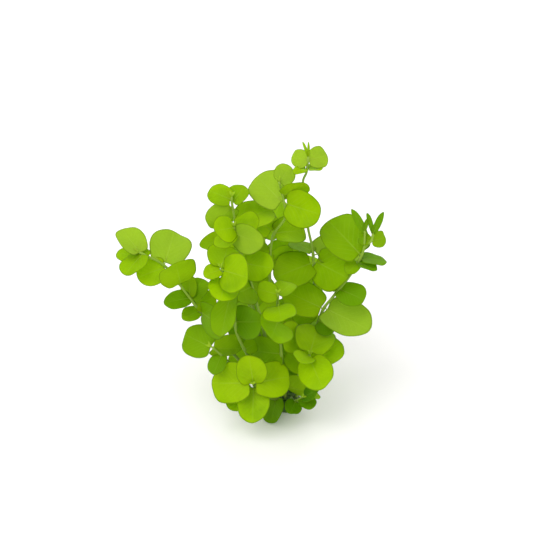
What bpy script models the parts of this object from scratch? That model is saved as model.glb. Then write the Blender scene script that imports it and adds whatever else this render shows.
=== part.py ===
# Creeping jenny: a standing clump of leafy stems that grow from one crown, cut off flat below.
# Metres, +Z up. The origin is on the surface that the clump stands on, below the middle of its box.

import math

import bmesh
import bpy
import numpy as np
from mathutils import Matrix, Vector

MM = 0.001

# The view that the layout is written in. A place is (u, v, y) in millimetres: u to the right and v up
# in the picture plane through the middle of the crown's foot, and y away from the viewer.
VIEW_ELEVATION = math.radians(28.0)
VIEW_DISTANCE = 800.0
VIEW_CENTRE = (-5.4, 78.0)
SIN_E = math.sin(VIEW_ELEVATION)
COS_E = math.cos(VIEW_ELEVATION)
VIEW_UP = np.array([0.0, SIN_E, COS_E])
TO_VIEWER = np.array([0.0, -COS_E, SIN_E])
EYE = np.array([VIEW_CENTRE[0], 0.0, 0.0]) + VIEW_UP * VIEW_CENTRE[1] + TO_VIEWER * VIEW_DISTANCE

# Crown: the short knot of old stem bases, in millimetres
CROWN_CENTRE = (-1.0, 3.0)
CROWN_RADII = (13.0, 12.0)
CROWN_HEIGHT = 6.5
STUB_TOP = 9.0
STUB_FOOT = 2.0
STUB_LENGTH = 2.0

# Stems, in millimetres
STEM_FOOT_RADIUS = 1.0
STEM_TIP_RADIUS = 0.6
STEM_STEP = 10.5
FORK_STEP = 4.0
PLACE_STEP = 0.1
TOUCH_GAP = 0.3

# Leaves, in millimetres. Leaves as wide as OWN_LEAF_WIDTH are solids of their own, the others are one
# with their stem.
LEAF_THICKNESS = 0.6
PETIOLE_HALF_WIDTH = 0.45
PETIOLE_LENGTH = 0.8
OWN_LEAF_WIDTH = 17.2
COARSE_LEAF_WIDTH = 11.0
LEAF_GAP = 0.55
FLOOR_GAP = 0.15

# Leaf form, as shares of a leaf's length or width
PETIOLE_SHARE = 0.04
SLIM_RATIO = 2.6
OVAL_SHARE = 0.78
CUP = (0.10, 0.10)
DROOP = (0.05, 0.06)
BASE_LOBE = 0.05
TIP_NARROWING = 0.06
ROUNDING = 0.85
RIM_SPREAD = 1.03

# How a leaf is aimed from the view
FACING_SLACK = 1.06
AIM_ROUNDS = 5
SIDEWAYS_SHARE = 0.9
ROOT_DEPTH = 0.2
OUTWARD_LEAN = 0.5

# How far the middle of a leaf's blade is kept from other blades and from the middles of stems, and how
# far past its edge that still holds, in millimetres
LEAF_CLEARANCE = 1.25
STEM_CLEARANCE = 1.75
LEAF_MARGIN = 0.6
STEM_MARGIN = 1.0
CROWN_CLEARANCE = 1.2
RELAX_ROUNDS = 440
AIM_EVERY = 8
AIM_UNTIL = 240
AIM_TURN = 0.15
SMALLEST_SIZE = 0.92
LARGEST_SIZE = 1.12
SETTLED = 0.0002
LARGEST_TURN = 0.05
TURN_SHARE = 0.6
SHORTEST_ARM = 3.0
FARTHEST_PUSH = 3.0
OUT_OF_REACH = 9.0
NEIGHBOUR_SHARE = 0.62
OWN_STEM_FREE = 4.5
YOUNG_LEAF_WIDTH = 8.5

# Where each stem leaves the crown, across and away from the viewer
FEET = {
    "left_long": (-10, 3), "left_low": (-9, -1.5), "left_front": (-6, -4.5), "left_middle": (-5, 1),
    "left_back": (-5, 6.5), "centre": (0, 4), "top_right": (6, 6.5), "right": (10, 3),
    "front_centre": (0.5, -3.5), "front_right": (7.5, -3), "front_low": (-3, -7.3),
    "front_base": (4.5, -7),
    "back_left": (-8.5, 10), "back_centre": (-1, 12), "back_right": (5, 11.5),
}

# Stems: the places that each passes through after that, up to its tip
STEMS = {
    "left_long": [(-20, 19, 0), (-41.4, 43.8, -6), (-50.7, 56.4, -8),
                  (-60.6, 69.6, -9), (-70.8, 82.8, -9), (-83.4, 90, -9), (-87, 91.5, -9)],
    "left_low": [(-20, 14, -8), (-31, 24, -13), (-41, 33, -16), (-43.5, 35, -16)],
    "left_front": [(-16, 20, -9), (-28, 42, -18), (-29.5, 55, -20),
                   (-31.5, 66, -21), (-37, 80, -22), (-37.6, 82, -22)],
    "left_middle": [(-9, 30, -2), (-16, 60, -6), (-23.5, 85, -9), (-29, 101, -10),
                    (-30, 107, -10)],
    "left_back": [(-12, 32, 8), (-19, 60, 8), (-25, 85, 7), (-28.8, 107, 8),
                  (-31.2, 121, 9), (-31.2, 125, 9)],
    "centre": [(-4, 35, 7), (-7.5, 60, 10), (-8.4, 78, 12), (-7.0, 100, 12),
               (0.5, 112, 12), (0, 122, 13), (-3, 134, 13)],
    "top_right": [(10, 32, 11), (15, 50, 13), (18.2, 68, 14), (17.4, 91, 14),
                  (14.2, 107.6, 16), (11.3, 131.7, 17), (13.6, 140, 17), (14.6, 149, 17)],
    "right": [(14, 30, 5), (20, 48, 2), (23.6, 57.5, 0), (29.6, 65.2, -2),
              (38.8, 76.6, -2), (44.6, 85.8, -2), (48.0, 94, -2), (48.4, 104.5, -2)],
    "right_fork": [(48.0, 94, -2), (51.0, 97, -3), (52.6, 99, -3), (53.4, 103, -3)],
    "front_centre": [(-1, 20, -11), (-2, 38, -18), (-3.5, 55, -25), (-3.6, 67, -30)],
    "front_right": [(11, 14, -12), (14, 24, -20), (15.4, 30.5, -24)],
    "front_low": [(-11, 5, -14), (-17, 10.5, -20), (-18.5, 13, -30)],
    "front_base": [(6, 2, -14), (10, 4, -20), (11.5, 5, -23)],
    "back_left": [(-14, 36, 24), (-21, 60, 34), (-26, 80, 40), (-27, 88, 42)],
    "back_centre": [(-4, 40, 30), (-7, 64, 44), (-10, 86, 54), (-12, 100, 58)],
    "back_right": [(10, 34, 28), (14, 56, 42), (13, 74, 52), (12, 82, 56)],
}

# A fork grows out of its stem, and is one piece with it
FORKS = {"right_fork": "right"}

# Leaves: the stem, the place along it, where the tip is in the view, and the width seen there.
# A leaf shows its upper face unless it is "under", a "near" one leans toward the viewer, an "oval" one is
# longer than it is wide, and "slim" ones are young and narrow.
LEAVES = [
    ("left_long", 6.6, (-97.0, 105.2), 13.5, ""),
    ("left_long", 5.7, (-100.3, 91.0), 10.5, "oval"),
    ("left_long", 6.2, (-95.0, 78.8), 10.0, ""),
    ("left_long", 5.1, (-66.0, 103.5), 22.0, ""),
    ("left_long", 5.0, (-87.5, 76.5), 15.5, ""),
    ("left_long", 4.2, (-65.0, 85.5), 18.5, "under"),
    ("left_long", 3.6, (-71.0, 61.3), 8.5, "oval"),
    ("left_long", 3.6, (-57.0, 76.5), 8.0, "oval"),
    ("left_long", 3.5, (-49.0, 75.5), 14.0, ""),
    ("left_long", 3.3, (-41.5, 64.0), 13.0, ""),
    ("left_long", 3.0, (-60.5, 52.0), 8.5, ""),
    ("left_long", 3.0, (-34.0, 44.0), 18.0, ""),
    ("left_low", 3.6, (-59.0, 42.0), 19.0, ""),
    ("left_low", 3.4, (-26.0, 34.0), 14.0, "under"),
    ("left_low", 2.6, (-42.0, 19.0), 9.0, ""),
    ("left_front", 5.4, (-33.5, 96.5), 17.1, ""),
    ("left_front", 5.2, (-21.5, 76.5), 20.5, ""),
    ("left_front", 5.2, (-47.8, 78.0), 8.0, ""),
    ("left_front", 4.6, (-38.0, 63.5), 17.0, ""),
    ("left_front", 4.0, (-37.0, 42.0), 11.0, ""),
    ("left_front", 2.6, (-14.0, 50.0), 18.0, ""),
    ("left_middle", 4.8, (-41.0, 104.5), 14.5, ""),
    ("left_middle", 4.8, (-15.8, 110.5), 13.0, ""),
    ("left_middle", 4.2, (-13.0, 97.0), 15.0, ""),
    ("left_middle", 4.2, (-40.5, 95.0), 10.0, ""),
    ("left_middle", 3.0, (-7.5, 82.0), 17.0, ""),
    ("left_middle", 2.4, (-31.0, 66.0), 17.0, ""),
    ("left_middle", 1.8, (0.0, 56.0), 17.0, ""),
    ("left_back", 5.3, (-44.8, 128.5), 11.5, ""),
    ("left_back", 5.0, (-24.0, 131.0), 10.5, ""),
    ("left_back", 4.8, (-43.5, 107.0), 13.0, "under"),
    ("left_back", 3.5, (-49.2, 98.0), 11.5, "under"),
    ("left_back", 4.1, (-8.0, 117.5), 17.0, ""),
    ("left_back", 3.0, (-11.9, 96.6), 15.0, ""),
    ("left_back", 3.0, (-38.0, 86.0), 13.0, ""),
    ("left_back", 1.6, (-33.0, 43.0), 17.0, ""),
    ("centre", 5.9, (-16.0, 136.8), 21.0, ""),
    ("centre", 6.9, (3.2, 142.8), 12.0, ""),
    ("centre", 6.3, (14.0, 131.0), 8.5, "under"),
    ("centre", 5.9, (20.8, 114.5), 20.5, ""),
    ("centre", 4.2, (12.5, 104.5), 13.0, ""),
    ("centre", 4.2, (-24.0, 117.0), 17.0, ""),
    ("centre", 3.3, (-24.0, 92.0), 17.0, ""),
    ("centre", 3.4, (6.0, 88.0), 15.0, ""),
    ("centre", 2.2, (-20.0, 74.0), 17.0, ""),
    ("top_right", 7.7, (5.2, 148.5), 10.5, ""),
    ("top_right", 7.7, (25.2, 149.8), 12.0, ""),
    ("top_right", 7.2, (5.8, 139.0), 4.0, ""),
    ("top_right", 7.2, (22.8, 143.0), 4.0, ""),
    ("top_right", 8.0, (11.4, 157.6), 1.5, "slim"),
    ("top_right", 8.0, (14.8, 157.8), 1.5, "slim"),
    ("top_right", 4.05, (4.0, 97.5), 7.0, ""),
    ("right", 6.5, (27.0, 110.0), 23.5, ""),
    ("top_right", 3.95, (44.0, 93.0), 13.0, "oval"),
    ("top_right", 3.8, (37.5, 76.5), 21.0, ""),
    ("top_right", 3.75, (-5.0, 76.5), 19.5, ""),
    ("top_right", 2.6, (7.0, 50.0), 14.0, ""),
    ("top_right", 2.0, (29.0, 47.5), 9.0, ""),
    ("right", 7.9, (41.2, 116.6), 4.2, "slim"),
    ("right", 8.0, (49.8, 111.5), 2.2, "slim"),
    ("right_fork", 3.0, (50.0, 115.0), 2.6, "slim"),
    ("right_fork", 3.0, (59.4, 115.0), 3.6, "slim"),
    ("right_fork", 1.9, (60.6, 100.0), 9.0, ""),
    ("right_fork", 1.7, (45.2, 100.5), 7.0, ""),
    ("right", 6.2, (61.2, 86.5), 7.5, ""),
    ("right", 6.0, (55.0, 81.0), 5.0, ""),
    ("right", 6.0, (38.0, 79.0), 7.0, ""),
    ("right", 4.2, (28.3, 75.5), 4.5, ""),
    ("right", 4.4, (47.8, 63.0), 13.5, ""),
    ("right", 3.1, (49.5, 45.5), 21.0, ""),
    ("right", 3.0, (1.0, 68.0), 18.0, ""),
    ("right", 2.2, (30.0, 44.5), 11.5, ""),
    ("front_centre", 3.9, (-13.0, 69.0), 12.5, ""),
    ("front_centre", 3.8, (4.5, 73.0), 11.5, ""),
    ("front_centre", 3.4, (-1.5, 50.5), 17.5, ""),
    ("front_centre", 2.8, (-9.0, 37.0), 20.0, ""),
    ("front_centre", 0.5, (20.0, 7.0), 16.0, ""),
    ("front_centre", 1.6, (-19.0, 33.0), 17.0, ""),
    ("front_centre", 2.0, (12.0, 43.0), 17.0, ""),
    ("front_right", 2.9, (20.0, 46.5), 20.5, ""),
    ("front_right", 2.8, (8.4, 26.5), 12.0, ""),
    ("front_right", 2.7, (21.5, 13.8), 21.0, ""),
    ("front_right", 2.1, (33.0, 37.0), 18.0, ""),
    ("front_right", 1.7, (2.0, 31.0), 13.0, ""),
    ("front_base", 2.3, (17.5, -1.5), 9.5, ""),
    ("front_base", 2.9, (21.6, 9.5), 7.5, ""),
    ("front_low", 2.95, (-42.3, 13.0), 24.0, ""),
    ("front_low", 2.95, (2.8, 17.0), 22.0, ""),
    ("front_low", 2.9, (-21.0, 29.0), 17.0, "near"),
    ("front_low", 2.5, (-19.0, -9.3), 19.0, ""),
    ("front_low", 2.0, (-31.5, -1.0), 15.0, ""),
    ("front_low", 0.3, (-7.5, -10.5), 10.5, ""),
    ("front_base", 1.3, (3.5, -5.0), 9.5, ""),
    ("back_left", 3.6, (-36.0, 92.0), 18.5, ""),
    ("back_left", 3.6, (-18.0, 94.0), 18.5, ""),
    ("back_left", 2.6, (-39.0, 67.0), 18.5, ""),
    ("back_left", 2.6, (-14.0, 71.0), 18.5, ""),
    ("back_left", 1.4, (-33.0, 49.0), 18.5, ""),
    ("back_left", 0.8, (-30.0, 22.0), 17.0, ""),
    ("back_left", 1.7, (-27.0, 63.0), 17.0, ""),
    ("back_centre", 3.7, (-20.0, 106.0), 18.5, ""),
    ("back_centre", 3.9, (-2.0, 121.0), 18.5, ""),
    ("back_centre", 2.8, (5.0, 97.0), 18.5, ""),
    ("back_centre", 2.6, (-20.0, 82.0), 18.5, ""),
    ("back_centre", 1.5, (5.0, 56.0), 18.5, ""),
    ("back_centre", 1.3, (-22.0, 38.0), 18.5, ""),
    ("back_centre", 0.7, (-17.0, 26.0), 17.0, ""),
    ("back_centre", 0.7, (11.0, 27.0), 17.0, ""),
    ("back_right", 3.7, (22.0, 84.0), 18.5, ""),
    ("back_right", 3.7, (1.0, 86.0), 18.5, ""),
    ("back_right", 2.6, (22.0, 72.0), 12.0, ""),
    ("back_right", 2.6, (3.0, 68.0), 18.5, ""),
    ("back_right", 1.5, (22.0, 42.0), 18.5, ""),
    ("back_right", 0.8, (22.0, 24.0), 15.0, ""),
    ("back_right", 1.5, (-3.0, 44.0), 17.0, ""),
    ("centre", 0.6, (8.0, 19.0), 10.9, ""),
    ("left_front", 1.6, (-17.0, 37.0), 9.0, ""),
]

LEAF_COLOUR = (0.26, 0.45, 0.02, 1.0)
STEM_COLOUR = (0.30, 0.36, 0.10, 1.0)
CROWN_COLOUR = (0.12, 0.13, 0.05, 1.0)


def from_view(u, v, w):
    """A world point from the picture plane and a depth w toward the viewer."""
    shrink = (VIEW_DISTANCE - w) / VIEW_DISTANCE
    flat_u = VIEW_CENTRE[0] + (u - VIEW_CENTRE[0]) * shrink
    flat_v = VIEW_CENTRE[1] + (v - VIEW_CENTRE[1]) * shrink
    return np.array([flat_u, flat_v * SIN_E - w * COS_E, flat_v * COS_E + w * SIN_E])


def from_side(u, v, y):
    """A world point from the picture plane and its distance y away from the viewer."""
    over = (v - VIEW_CENTRE[1]) / VIEW_DISTANCE
    flat_v = (v + over * y / COS_E) / (1.0 + over * SIN_E / COS_E)
    return from_view(u, v, flat_v * SIN_E / COS_E - y / COS_E)


def to_view(point):
    """Where a world point shows in the picture plane."""
    depth = np.dot(point, TO_VIEWER)
    grow = VIEW_DISTANCE / (VIEW_DISTANCE - depth)
    return np.array([VIEW_CENTRE[0] + (point[0] - VIEW_CENTRE[0]) * grow,
                     VIEW_CENTRE[1] + (np.dot(point, VIEW_UP) - VIEW_CENTRE[1]) * grow])


def unit(vector):
    return vector / np.linalg.norm(vector)


def turned(vector, axis, angle):
    """The vector turned about a unit axis."""
    across = np.cross(axis, vector)
    along = axis * np.dot(axis, vector)
    return vector * math.cos(angle) + across * math.sin(angle) + along * (1.0 - math.cos(angle))


def stem_places(name):
    """The world points of a stem, from the top of its stub on the crown."""
    places = [from_side(*point) for point in STEMS[name]]
    if name in FEET:
        places.insert(0, np.array([*FEET[name], STUB_TOP]))
    return np.array(places)


def stem_point(points, place):
    """A point on the smooth curve through a stem's points, at a place counted in points."""
    last = len(points) - 1
    step = min(int(place), last - 1)
    t = place - step
    before = points[max(step - 1, 0)]
    start = points[step]
    end = points[step + 1]
    after = points[min(step + 2, last)]
    return 0.5 * (2.0 * start + (end - before) * t
                  + (2.0 * before - 5.0 * start + 4.0 * end - after) * t ** 2
                  + (3.0 * start - before - 3.0 * end + after) * t ** 3)


def stem_run(points, spacing):
    """Points along the smooth curve, about one spacing apart, with their share of its length."""
    fine = np.array([stem_point(points, place) for place in np.linspace(0, len(points) - 1, 400)])
    lengths = np.concatenate([[0.0], np.cumsum(np.linalg.norm(np.diff(fine, axis=0), axis=1))])
    count = max(4, round(lengths[-1] / spacing) + 1)
    wanted = np.linspace(0.0, lengths[-1], count)
    run = np.stack([np.interp(wanted, lengths, fine[:, axis]) for axis in range(3)], axis=1)
    return run, wanted / lengths[-1]


def stub_places(run):
    """The points of the stub below a stem: inside the mound, at the bend, and at the stem's foot."""
    below = run[0] - unit(run[1] - run[0]) * STUB_LENGTH
    inside = np.array([(below[0] + CROWN_CENTRE[0]) / 2.0, (below[1] + CROWN_CENTRE[1]) / 2.0, STUB_FOOT])
    return np.array([inside, below, run[0]])


def stem_radius(share):
    return STEM_FOOT_RADIUS + (STEM_TIP_RADIUS - STEM_FOOT_RADIUS) * share


class Leaf:
    """One leaf: where it grows from, which way it points and faces, and its own form."""

    def __init__(self, number, row, stems):
        stem, place, tip, seen_width, kind = row
        self.stem = stem
        self.number = number
        points = stems[stem]
        self.joint = stem_point(points, place)
        ahead = stem_point(points, min(place + PLACE_STEP, len(points) - 1.0))
        behind = stem_point(points, max(place - PLACE_STEP, 0.0))
        stem_line = unit(ahead - behind)
        radius = stem_radius(place / (len(points) - 1))
        self.cup = CUP[0] + CUP[1] * math.sin(1.9 * number)
        self.droop = DROOP[0] + DROOP[1] * math.sin(2.9 * number + 1.0)
        self.base = self.joint
        self.tip = np.array(tip, dtype=float)
        self.size = 1.0
        aim = self.tip
        for _ in range(AIM_ROUNDS):
            self.point_at(aim, seen_width, kind)
            self.own = self.width >= OWN_LEAF_WIDTH
            out = unit(self.axis - stem_line * np.dot(self.axis, stem_line) * SIDEWAYS_SHARE)
            self.base = self.joint + out * (radius + LEAF_GAP if self.own else -radius * ROOT_DEPTH)
            end = np.array([0.0, self.petiole + self.length])
            reached = self.base + self.frame() @ np.array([*end, float(self.sheet(*end))])
            aim = aim + (self.tip - to_view(reached))

    def point_at(self, aim, seen_width, kind):
        """Size and turn the leaf so that its tip and its width look as they do in the view."""
        to_eye = unit(EYE - self.base)
        reach = from_view(aim[0], aim[1], np.dot(self.base, TO_VIEWER)) - self.base
        reach -= to_eye * np.dot(reach, to_eye)
        seen_length = np.linalg.norm(reach)
        reach /= seen_length
        if kind == "slim":
            self.width = seen_width * FACING_SLACK
            self.petiole = PETIOLE_LENGTH
            self.length = max(seen_length * FACING_SLACK - self.petiole, self.width * SLIM_RATIO)
        else:
            blade = (seen_length - PETIOLE_LENGTH) / (1.0 + PETIOLE_SHARE)
            self.length = max(seen_width, blade * FACING_SLACK)
            self.width = max(seen_width, self.length * (OVAL_SHARE if kind == "oval" else 1.0))
            self.petiole = PETIOLE_LENGTH + PETIOLE_SHARE * self.length

        # The tilt that shortens the leaf in the view, and the roll that narrows it
        under = kind == "under"
        tilt = math.acos(min(1.0, seen_length / (self.petiole + self.length)))
        roll = math.acos(min(1.0, seen_width / self.width))
        away = (reach[2] > 0.0) != under and kind != "near"
        self.axis = unit(reach * math.cos(tilt) - to_eye * math.sin(tilt) * (1.0 if away else -1.0))
        flat = unit(to_eye - self.axis * np.dot(to_eye, self.axis))
        lean = math.copysign(OUTWARD_LEAN, self.joint[0])
        outward = np.array([lean, 0.0, -1.0 if under else 1.0])
        facing = max((turned(flat, self.axis, roll), turned(flat, self.axis, -roll)),
                     key=lambda way: np.dot(way, outward))
        self.upper = -facing if under else facing

    def aim_again(self):
        """Turn about the line of sight, and grow or shrink a little, to reach the tip's place again."""
        end = np.array([0.0, self.petiole + self.length])
        reached = self.base + self.frame() @ np.array([*end, float(self.sheet(*end))])
        start = to_view(self.base)
        now = to_view(reached) - start
        wanted = self.tip - start
        angle = math.atan2(now[0] * wanted[1] - now[1] * wanted[0], np.dot(now, wanted))
        angle = min(AIM_TURN, max(-AIM_TURN, angle * 0.5))
        to_eye = unit(EYE - self.base)
        self.axis = turned(self.axis, to_eye, angle)
        self.upper = turned(self.upper, to_eye, angle)
        grow = np.linalg.norm(wanted) / max(np.linalg.norm(now), 1.0)
        size = min(LARGEST_SIZE, max(SMALLEST_SIZE, self.size * grow))
        self.width *= size / self.size
        self.length *= size / self.size
        self.petiole *= size / self.size
        self.size = size

    def side(self):
        return np.cross(self.axis, self.upper)

    def frame(self):
        """The side, tip and upper directions as the columns of a turn."""
        return np.stack([self.side(), self.axis, self.upper], axis=1)

    def sheet(self, x, y):
        """Height of the middle of the blade over its own flat plane."""
        over = np.clip((y - self.petiole) / self.length, 0.0, 1.2)
        return self.width * (self.cup * (x / self.width) ** 2 * 2.0 - self.droop * over ** 2)

    def rim(self, turn):
        """A point of the blade's edge; turn runs from 0 at the petiole to pi at the tip."""
        along = (1.0 - np.sign(np.cos(turn)) * np.abs(np.cos(turn)) ** ROUNDING) / 2.0
        lobe = BASE_LOBE * np.sin(turn) ** 2 * (1.0 - along)
        point = TIP_NARROWING * along ** 5
        x = self.width / 2.0 * np.abs(np.sin(turn)) ** ROUNDING * (1.0 - point)
        y = self.petiole + self.length * (along - lobe)
        return x, y

    def half_width(self, y):
        """Half the leaf's width at a distance y from the stem, with the petiole's below the blade."""
        over = np.clip((y - self.petiole) / self.length, 0.0, 1.0)
        blade = self.width / 2.0 * (1.0 - np.abs(2.0 * over - 1.0) ** (2.0 / ROUNDING)) ** (ROUNDING / 2.0)
        inside = (y > 0.0) & (y < self.petiole + self.length)
        return np.where(inside, np.maximum(blade, PETIOLE_HALF_WIDTH), -99.0)

    def samples(self):
        """Points over the blade and the petiole, in the leaf's own axes."""
        x = [0.0, 0.0]
        y = [self.petiole * 0.6, self.petiole + self.length / 2.0]
        middle = self.petiole + self.length / 2.0
        for ring, count in ((0.5, 8), (0.8, 12), (1.0, 16)):
            for turn in np.linspace(0.0, 2.0 * math.pi, count, endpoint=False):
                edge_x, edge_y = self.rim(abs(turn if turn <= math.pi else 2.0 * math.pi - turn))
                sign = 1.0 if turn <= math.pi else -1.0
                x.append(sign * edge_x * ring)
                y.append(middle + (edge_y - middle) * ring)
        x = np.array(x)
        y = np.array(y)
        return np.stack([x, y, self.sheet(x, y)], axis=1)


def torques(points, moves, bases):
    """How the moves of some points would turn leaves about their bases."""
    arms = points - bases
    size = np.maximum(np.sum(arms ** 2, axis=-1, keepdims=True), SHORTEST_ARM ** 2)
    return np.cross(arms, moves) / size


def pushes(leaf, points, groups, clearance, margin):
    """How far each point must move along the leaf's upper side to stand clear of it.

    The points of one group, such as another leaf or a stem, all go to the side where most of them are.
    """
    flat = (points - leaf.base) @ leaf.frame()
    height = flat[:, 2] - leaf.sheet(flat[:, 0], flat[:, 1])
    inside = np.abs(flat[:, 0]) < leaf.half_width(flat[:, 1]) + margin
    inside &= np.abs(height) < OUT_OF_REACH
    sums = np.bincount(groups, weights=np.where(inside, height, 0.0), minlength=groups.max() + 1)
    side = np.where(sums >= 0.0, 1.0, -1.0)[groups]
    lack = np.where(inside, clearance - side * height, 0.0)
    return np.clip(lack, 0.0, FARTHEST_PUSH) * side


def spread(leaves, runs):
    """Turn the leaves about their own joints until none cuts another, a stem, the crown or the floor."""
    count = len(leaves)
    local = np.array([leaf.samples() for leaf in leaves])
    dots_each = local.shape[1]
    reach = np.array([leaf.petiole + leaf.length for leaf in leaves])
    bases = np.array([leaf.base for leaf in leaves])
    leaf_groups = np.repeat(np.arange(count), dots_each)
    stem_dots = np.concatenate(list(runs.values()))
    stem_groups = np.repeat(np.arange(len(runs)), [len(run) for run in runs.values()])
    names = [FORKS.get(name, name) for name in runs]
    own_stem = np.array([names.index(FORKS.get(leaf.stem, leaf.stem)) for leaf in leaves])
    dot_stem = np.array([names.index(name) for name in names])[stem_groups]
    young = np.array([leaf.width < YOUNG_LEAF_WIDTH for leaf in leaves])
    fused = np.array([not leaf.own for leaf in leaves])
    lowest = LEAF_THICKNESS / 2.0 + FLOOR_GAP
    crown_size = np.array([*CROWN_RADII, CROWN_HEIGHT]) + CROWN_CLEARANCE
    crown_middle = np.array([*CROWN_CENTRE, 0.0])
    upward = np.array([0.0, 0.0, 1.0])
    moving = np.ones(count, bool)
    for number in range(RELAX_ROUNDS):
        if number < AIM_UNTIL and number % AIM_EVERY == AIM_EVERY - 1:
            for leaf in leaves:
                leaf.aim_again()
            local = np.array([leaf.samples() for leaf in leaves])
            moving[:] = True
        frames = np.array([leaf.frame() for leaf in leaves])
        world = bases[:, None, :] + np.einsum("nsk,njk->nsj", local, frames)
        centres = world.mean(axis=1)
        turn = np.zeros((count, 3))
        used = np.zeros(count)
        for i, leaf in enumerate(leaves):
            near = np.linalg.norm(centres - centres[i], axis=1) < (reach + reach[i]) * NEIGHBOUR_SHARE
            near &= moving | moving[i]
            near[i] = False
            near &= ~((own_stem == own_stem[i]) & fused & fused[i] & (young | young[i]))
            chosen = np.flatnonzero(near)
            if len(chosen):
                points = world[chosen].reshape(-1, 3)
                groups = np.repeat(np.arange(len(chosen)), dots_each)
                push = pushes(leaf, points, groups, LEAF_CLEARANCE, LEAF_MARGIN)
                if push.any():
                    moves = push[:, None] * leaf.upper * 0.5
                    others = np.repeat(bases[chosen], dots_each, axis=0)
                    turned_others = torques(points, moves, others).reshape(len(chosen), dots_each, 3)
                    np.add.at(turn, chosen, turned_others.sum(axis=1))
                    hits = (push != 0.0).reshape(len(chosen), dots_each).sum(axis=1)
                    np.add.at(used, chosen, hits)
                    turn[i] -= torques(points, moves, leaf.base).sum(axis=0)
                    used[i] += hits.sum()
            if not moving[i]:
                continue
            gap = np.linalg.norm(stem_dots - leaf.joint, axis=1)
            near_dots = gap < reach[i] + STEM_CLEARANCE + STEM_MARGIN
            near_dots &= (dot_stem != own_stem[i]) | ((gap > OWN_STEM_FREE) & ~young[i])
            dots = stem_dots[near_dots]
            if len(dots):
                push = pushes(leaf, dots, stem_groups[near_dots], STEM_CLEARANCE, STEM_MARGIN)
                turn[i] -= torques(dots, push[:, None] * leaf.upper, leaf.base).sum(axis=0)
                used[i] += np.count_nonzero(push)
            sunk = np.maximum(0.0, lowest - world[i][:, 2])
            from_crown = np.linalg.norm((world[i] - crown_middle) / crown_size, axis=1)
            sunk = np.maximum(sunk, (1.0 - from_crown) * CROWN_HEIGHT)
            turn[i] += torques(world[i], sunk[:, None] * upward, leaf.base).sum(axis=0)
            used[i] += np.count_nonzero(sunk)
        angles = np.linalg.norm(turn, axis=1) / np.sqrt(np.maximum(used, 1.0)) * TURN_SHARE
        moving = angles > SETTLED
        if not moving.any():
            break
        for i in np.flatnonzero(moving):
            leaf = leaves[i]
            axis = unit(turn[i])
            angle = min(angles[i], LARGEST_TURN)
            leaf.axis = unit(turned(leaf.axis, axis, angle))
            upper = turned(leaf.upper, axis, angle)
            leaf.upper = unit(upper - leaf.axis * np.dot(upper, leaf.axis))


def clear_scene():
    for thing in list(bpy.data.objects):
        bpy.data.objects.remove(thing)


def make_material(name, colour, roughness):
    material = bpy.data.materials.new(name)
    material.use_nodes = True
    shader = material.node_tree.nodes["Principled BSDF"]
    shader.inputs["Base Color"].default_value = colour
    shader.inputs["Roughness"].default_value = roughness
    shader.inputs["Metallic"].default_value = 0.0
    return material


def make_collection(name):
    collection = bpy.data.collections.new(name)
    bpy.context.scene.collection.children.link(collection)
    return collection


def leaf_mesh(leaf, name):
    """A fan about the middle of the blade, its edge set out by the leaf's own rule, and a flat petiole."""
    blade_points = 8 if leaf.width > COARSE_LEAF_WIDTH else 6
    middle = leaf.petiole + leaf.length / 2.0
    turns = [math.pi * (step + 0.75) / (blade_points / 2.0 + 0.25) for step in range(blade_points // 2)]
    right = [(x * RIM_SPREAD, y) for x, y in (leaf.rim(turn) for turn in turns)]
    neck = PETIOLE_HALF_WIDTH
    rim = [(neck, leaf.petiole)] + right + [(0.0, leaf.petiole + leaf.length * RIM_SPREAD)]
    rim += [(-x, y) for x, y in reversed(rim[:-1])]

    mesh = bmesh.new()
    bmesh.ops.create_circle(mesh, cap_ends=True, segments=len(rim), radius=1.0)
    bmesh.ops.poke(mesh, faces=mesh.faces[:])
    hub = min(mesh.verts, key=lambda vert: vert.co.length)
    outer = sorted((vert for vert in mesh.verts if vert != hub),
                   key=lambda vert: math.atan2(vert.co.y, vert.co.x))
    for vert, (x, y) in zip(outer, rim):
        vert.co = (x, y, 0.0)
    hub.co = (0.0, middle, 0.0)
    foot = [mesh.verts.new((x, 0.0, 0.0)) for x in (-neck, neck)]
    mesh.faces.new((*foot, outer[0], outer[-1]))
    for vert in mesh.verts:
        vert.co.z = float(leaf.sheet(vert.co.x, vert.co.y))
        vert.co *= MM
    bmesh.ops.triangulate(mesh, faces=mesh.faces[:])
    bmesh.ops.recalc_face_normals(mesh, faces=mesh.faces[:])
    data = bpy.data.meshes.new(name)
    mesh.to_mesh(data)
    mesh.free()
    return data


def make_leaf(leaf, name, material, collection):
    """The leaf's blade and petiole, given their thickness on both sides of the middle sheet."""
    data = leaf_mesh(leaf, name)
    data.materials.append(material)
    thing = bpy.data.objects.new(name, data)
    collection.objects.link(thing)
    turn = Matrix([list(row) for row in leaf.frame()]).to_4x4()
    thing.matrix_world = Matrix.Translation(Vector(leaf.base * MM)) @ turn
    solid = thing.modifiers.new("thickness", "SOLIDIFY")
    solid.thickness = LEAF_THICKNESS * MM
    solid.offset = 0.0
    return thing


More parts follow.
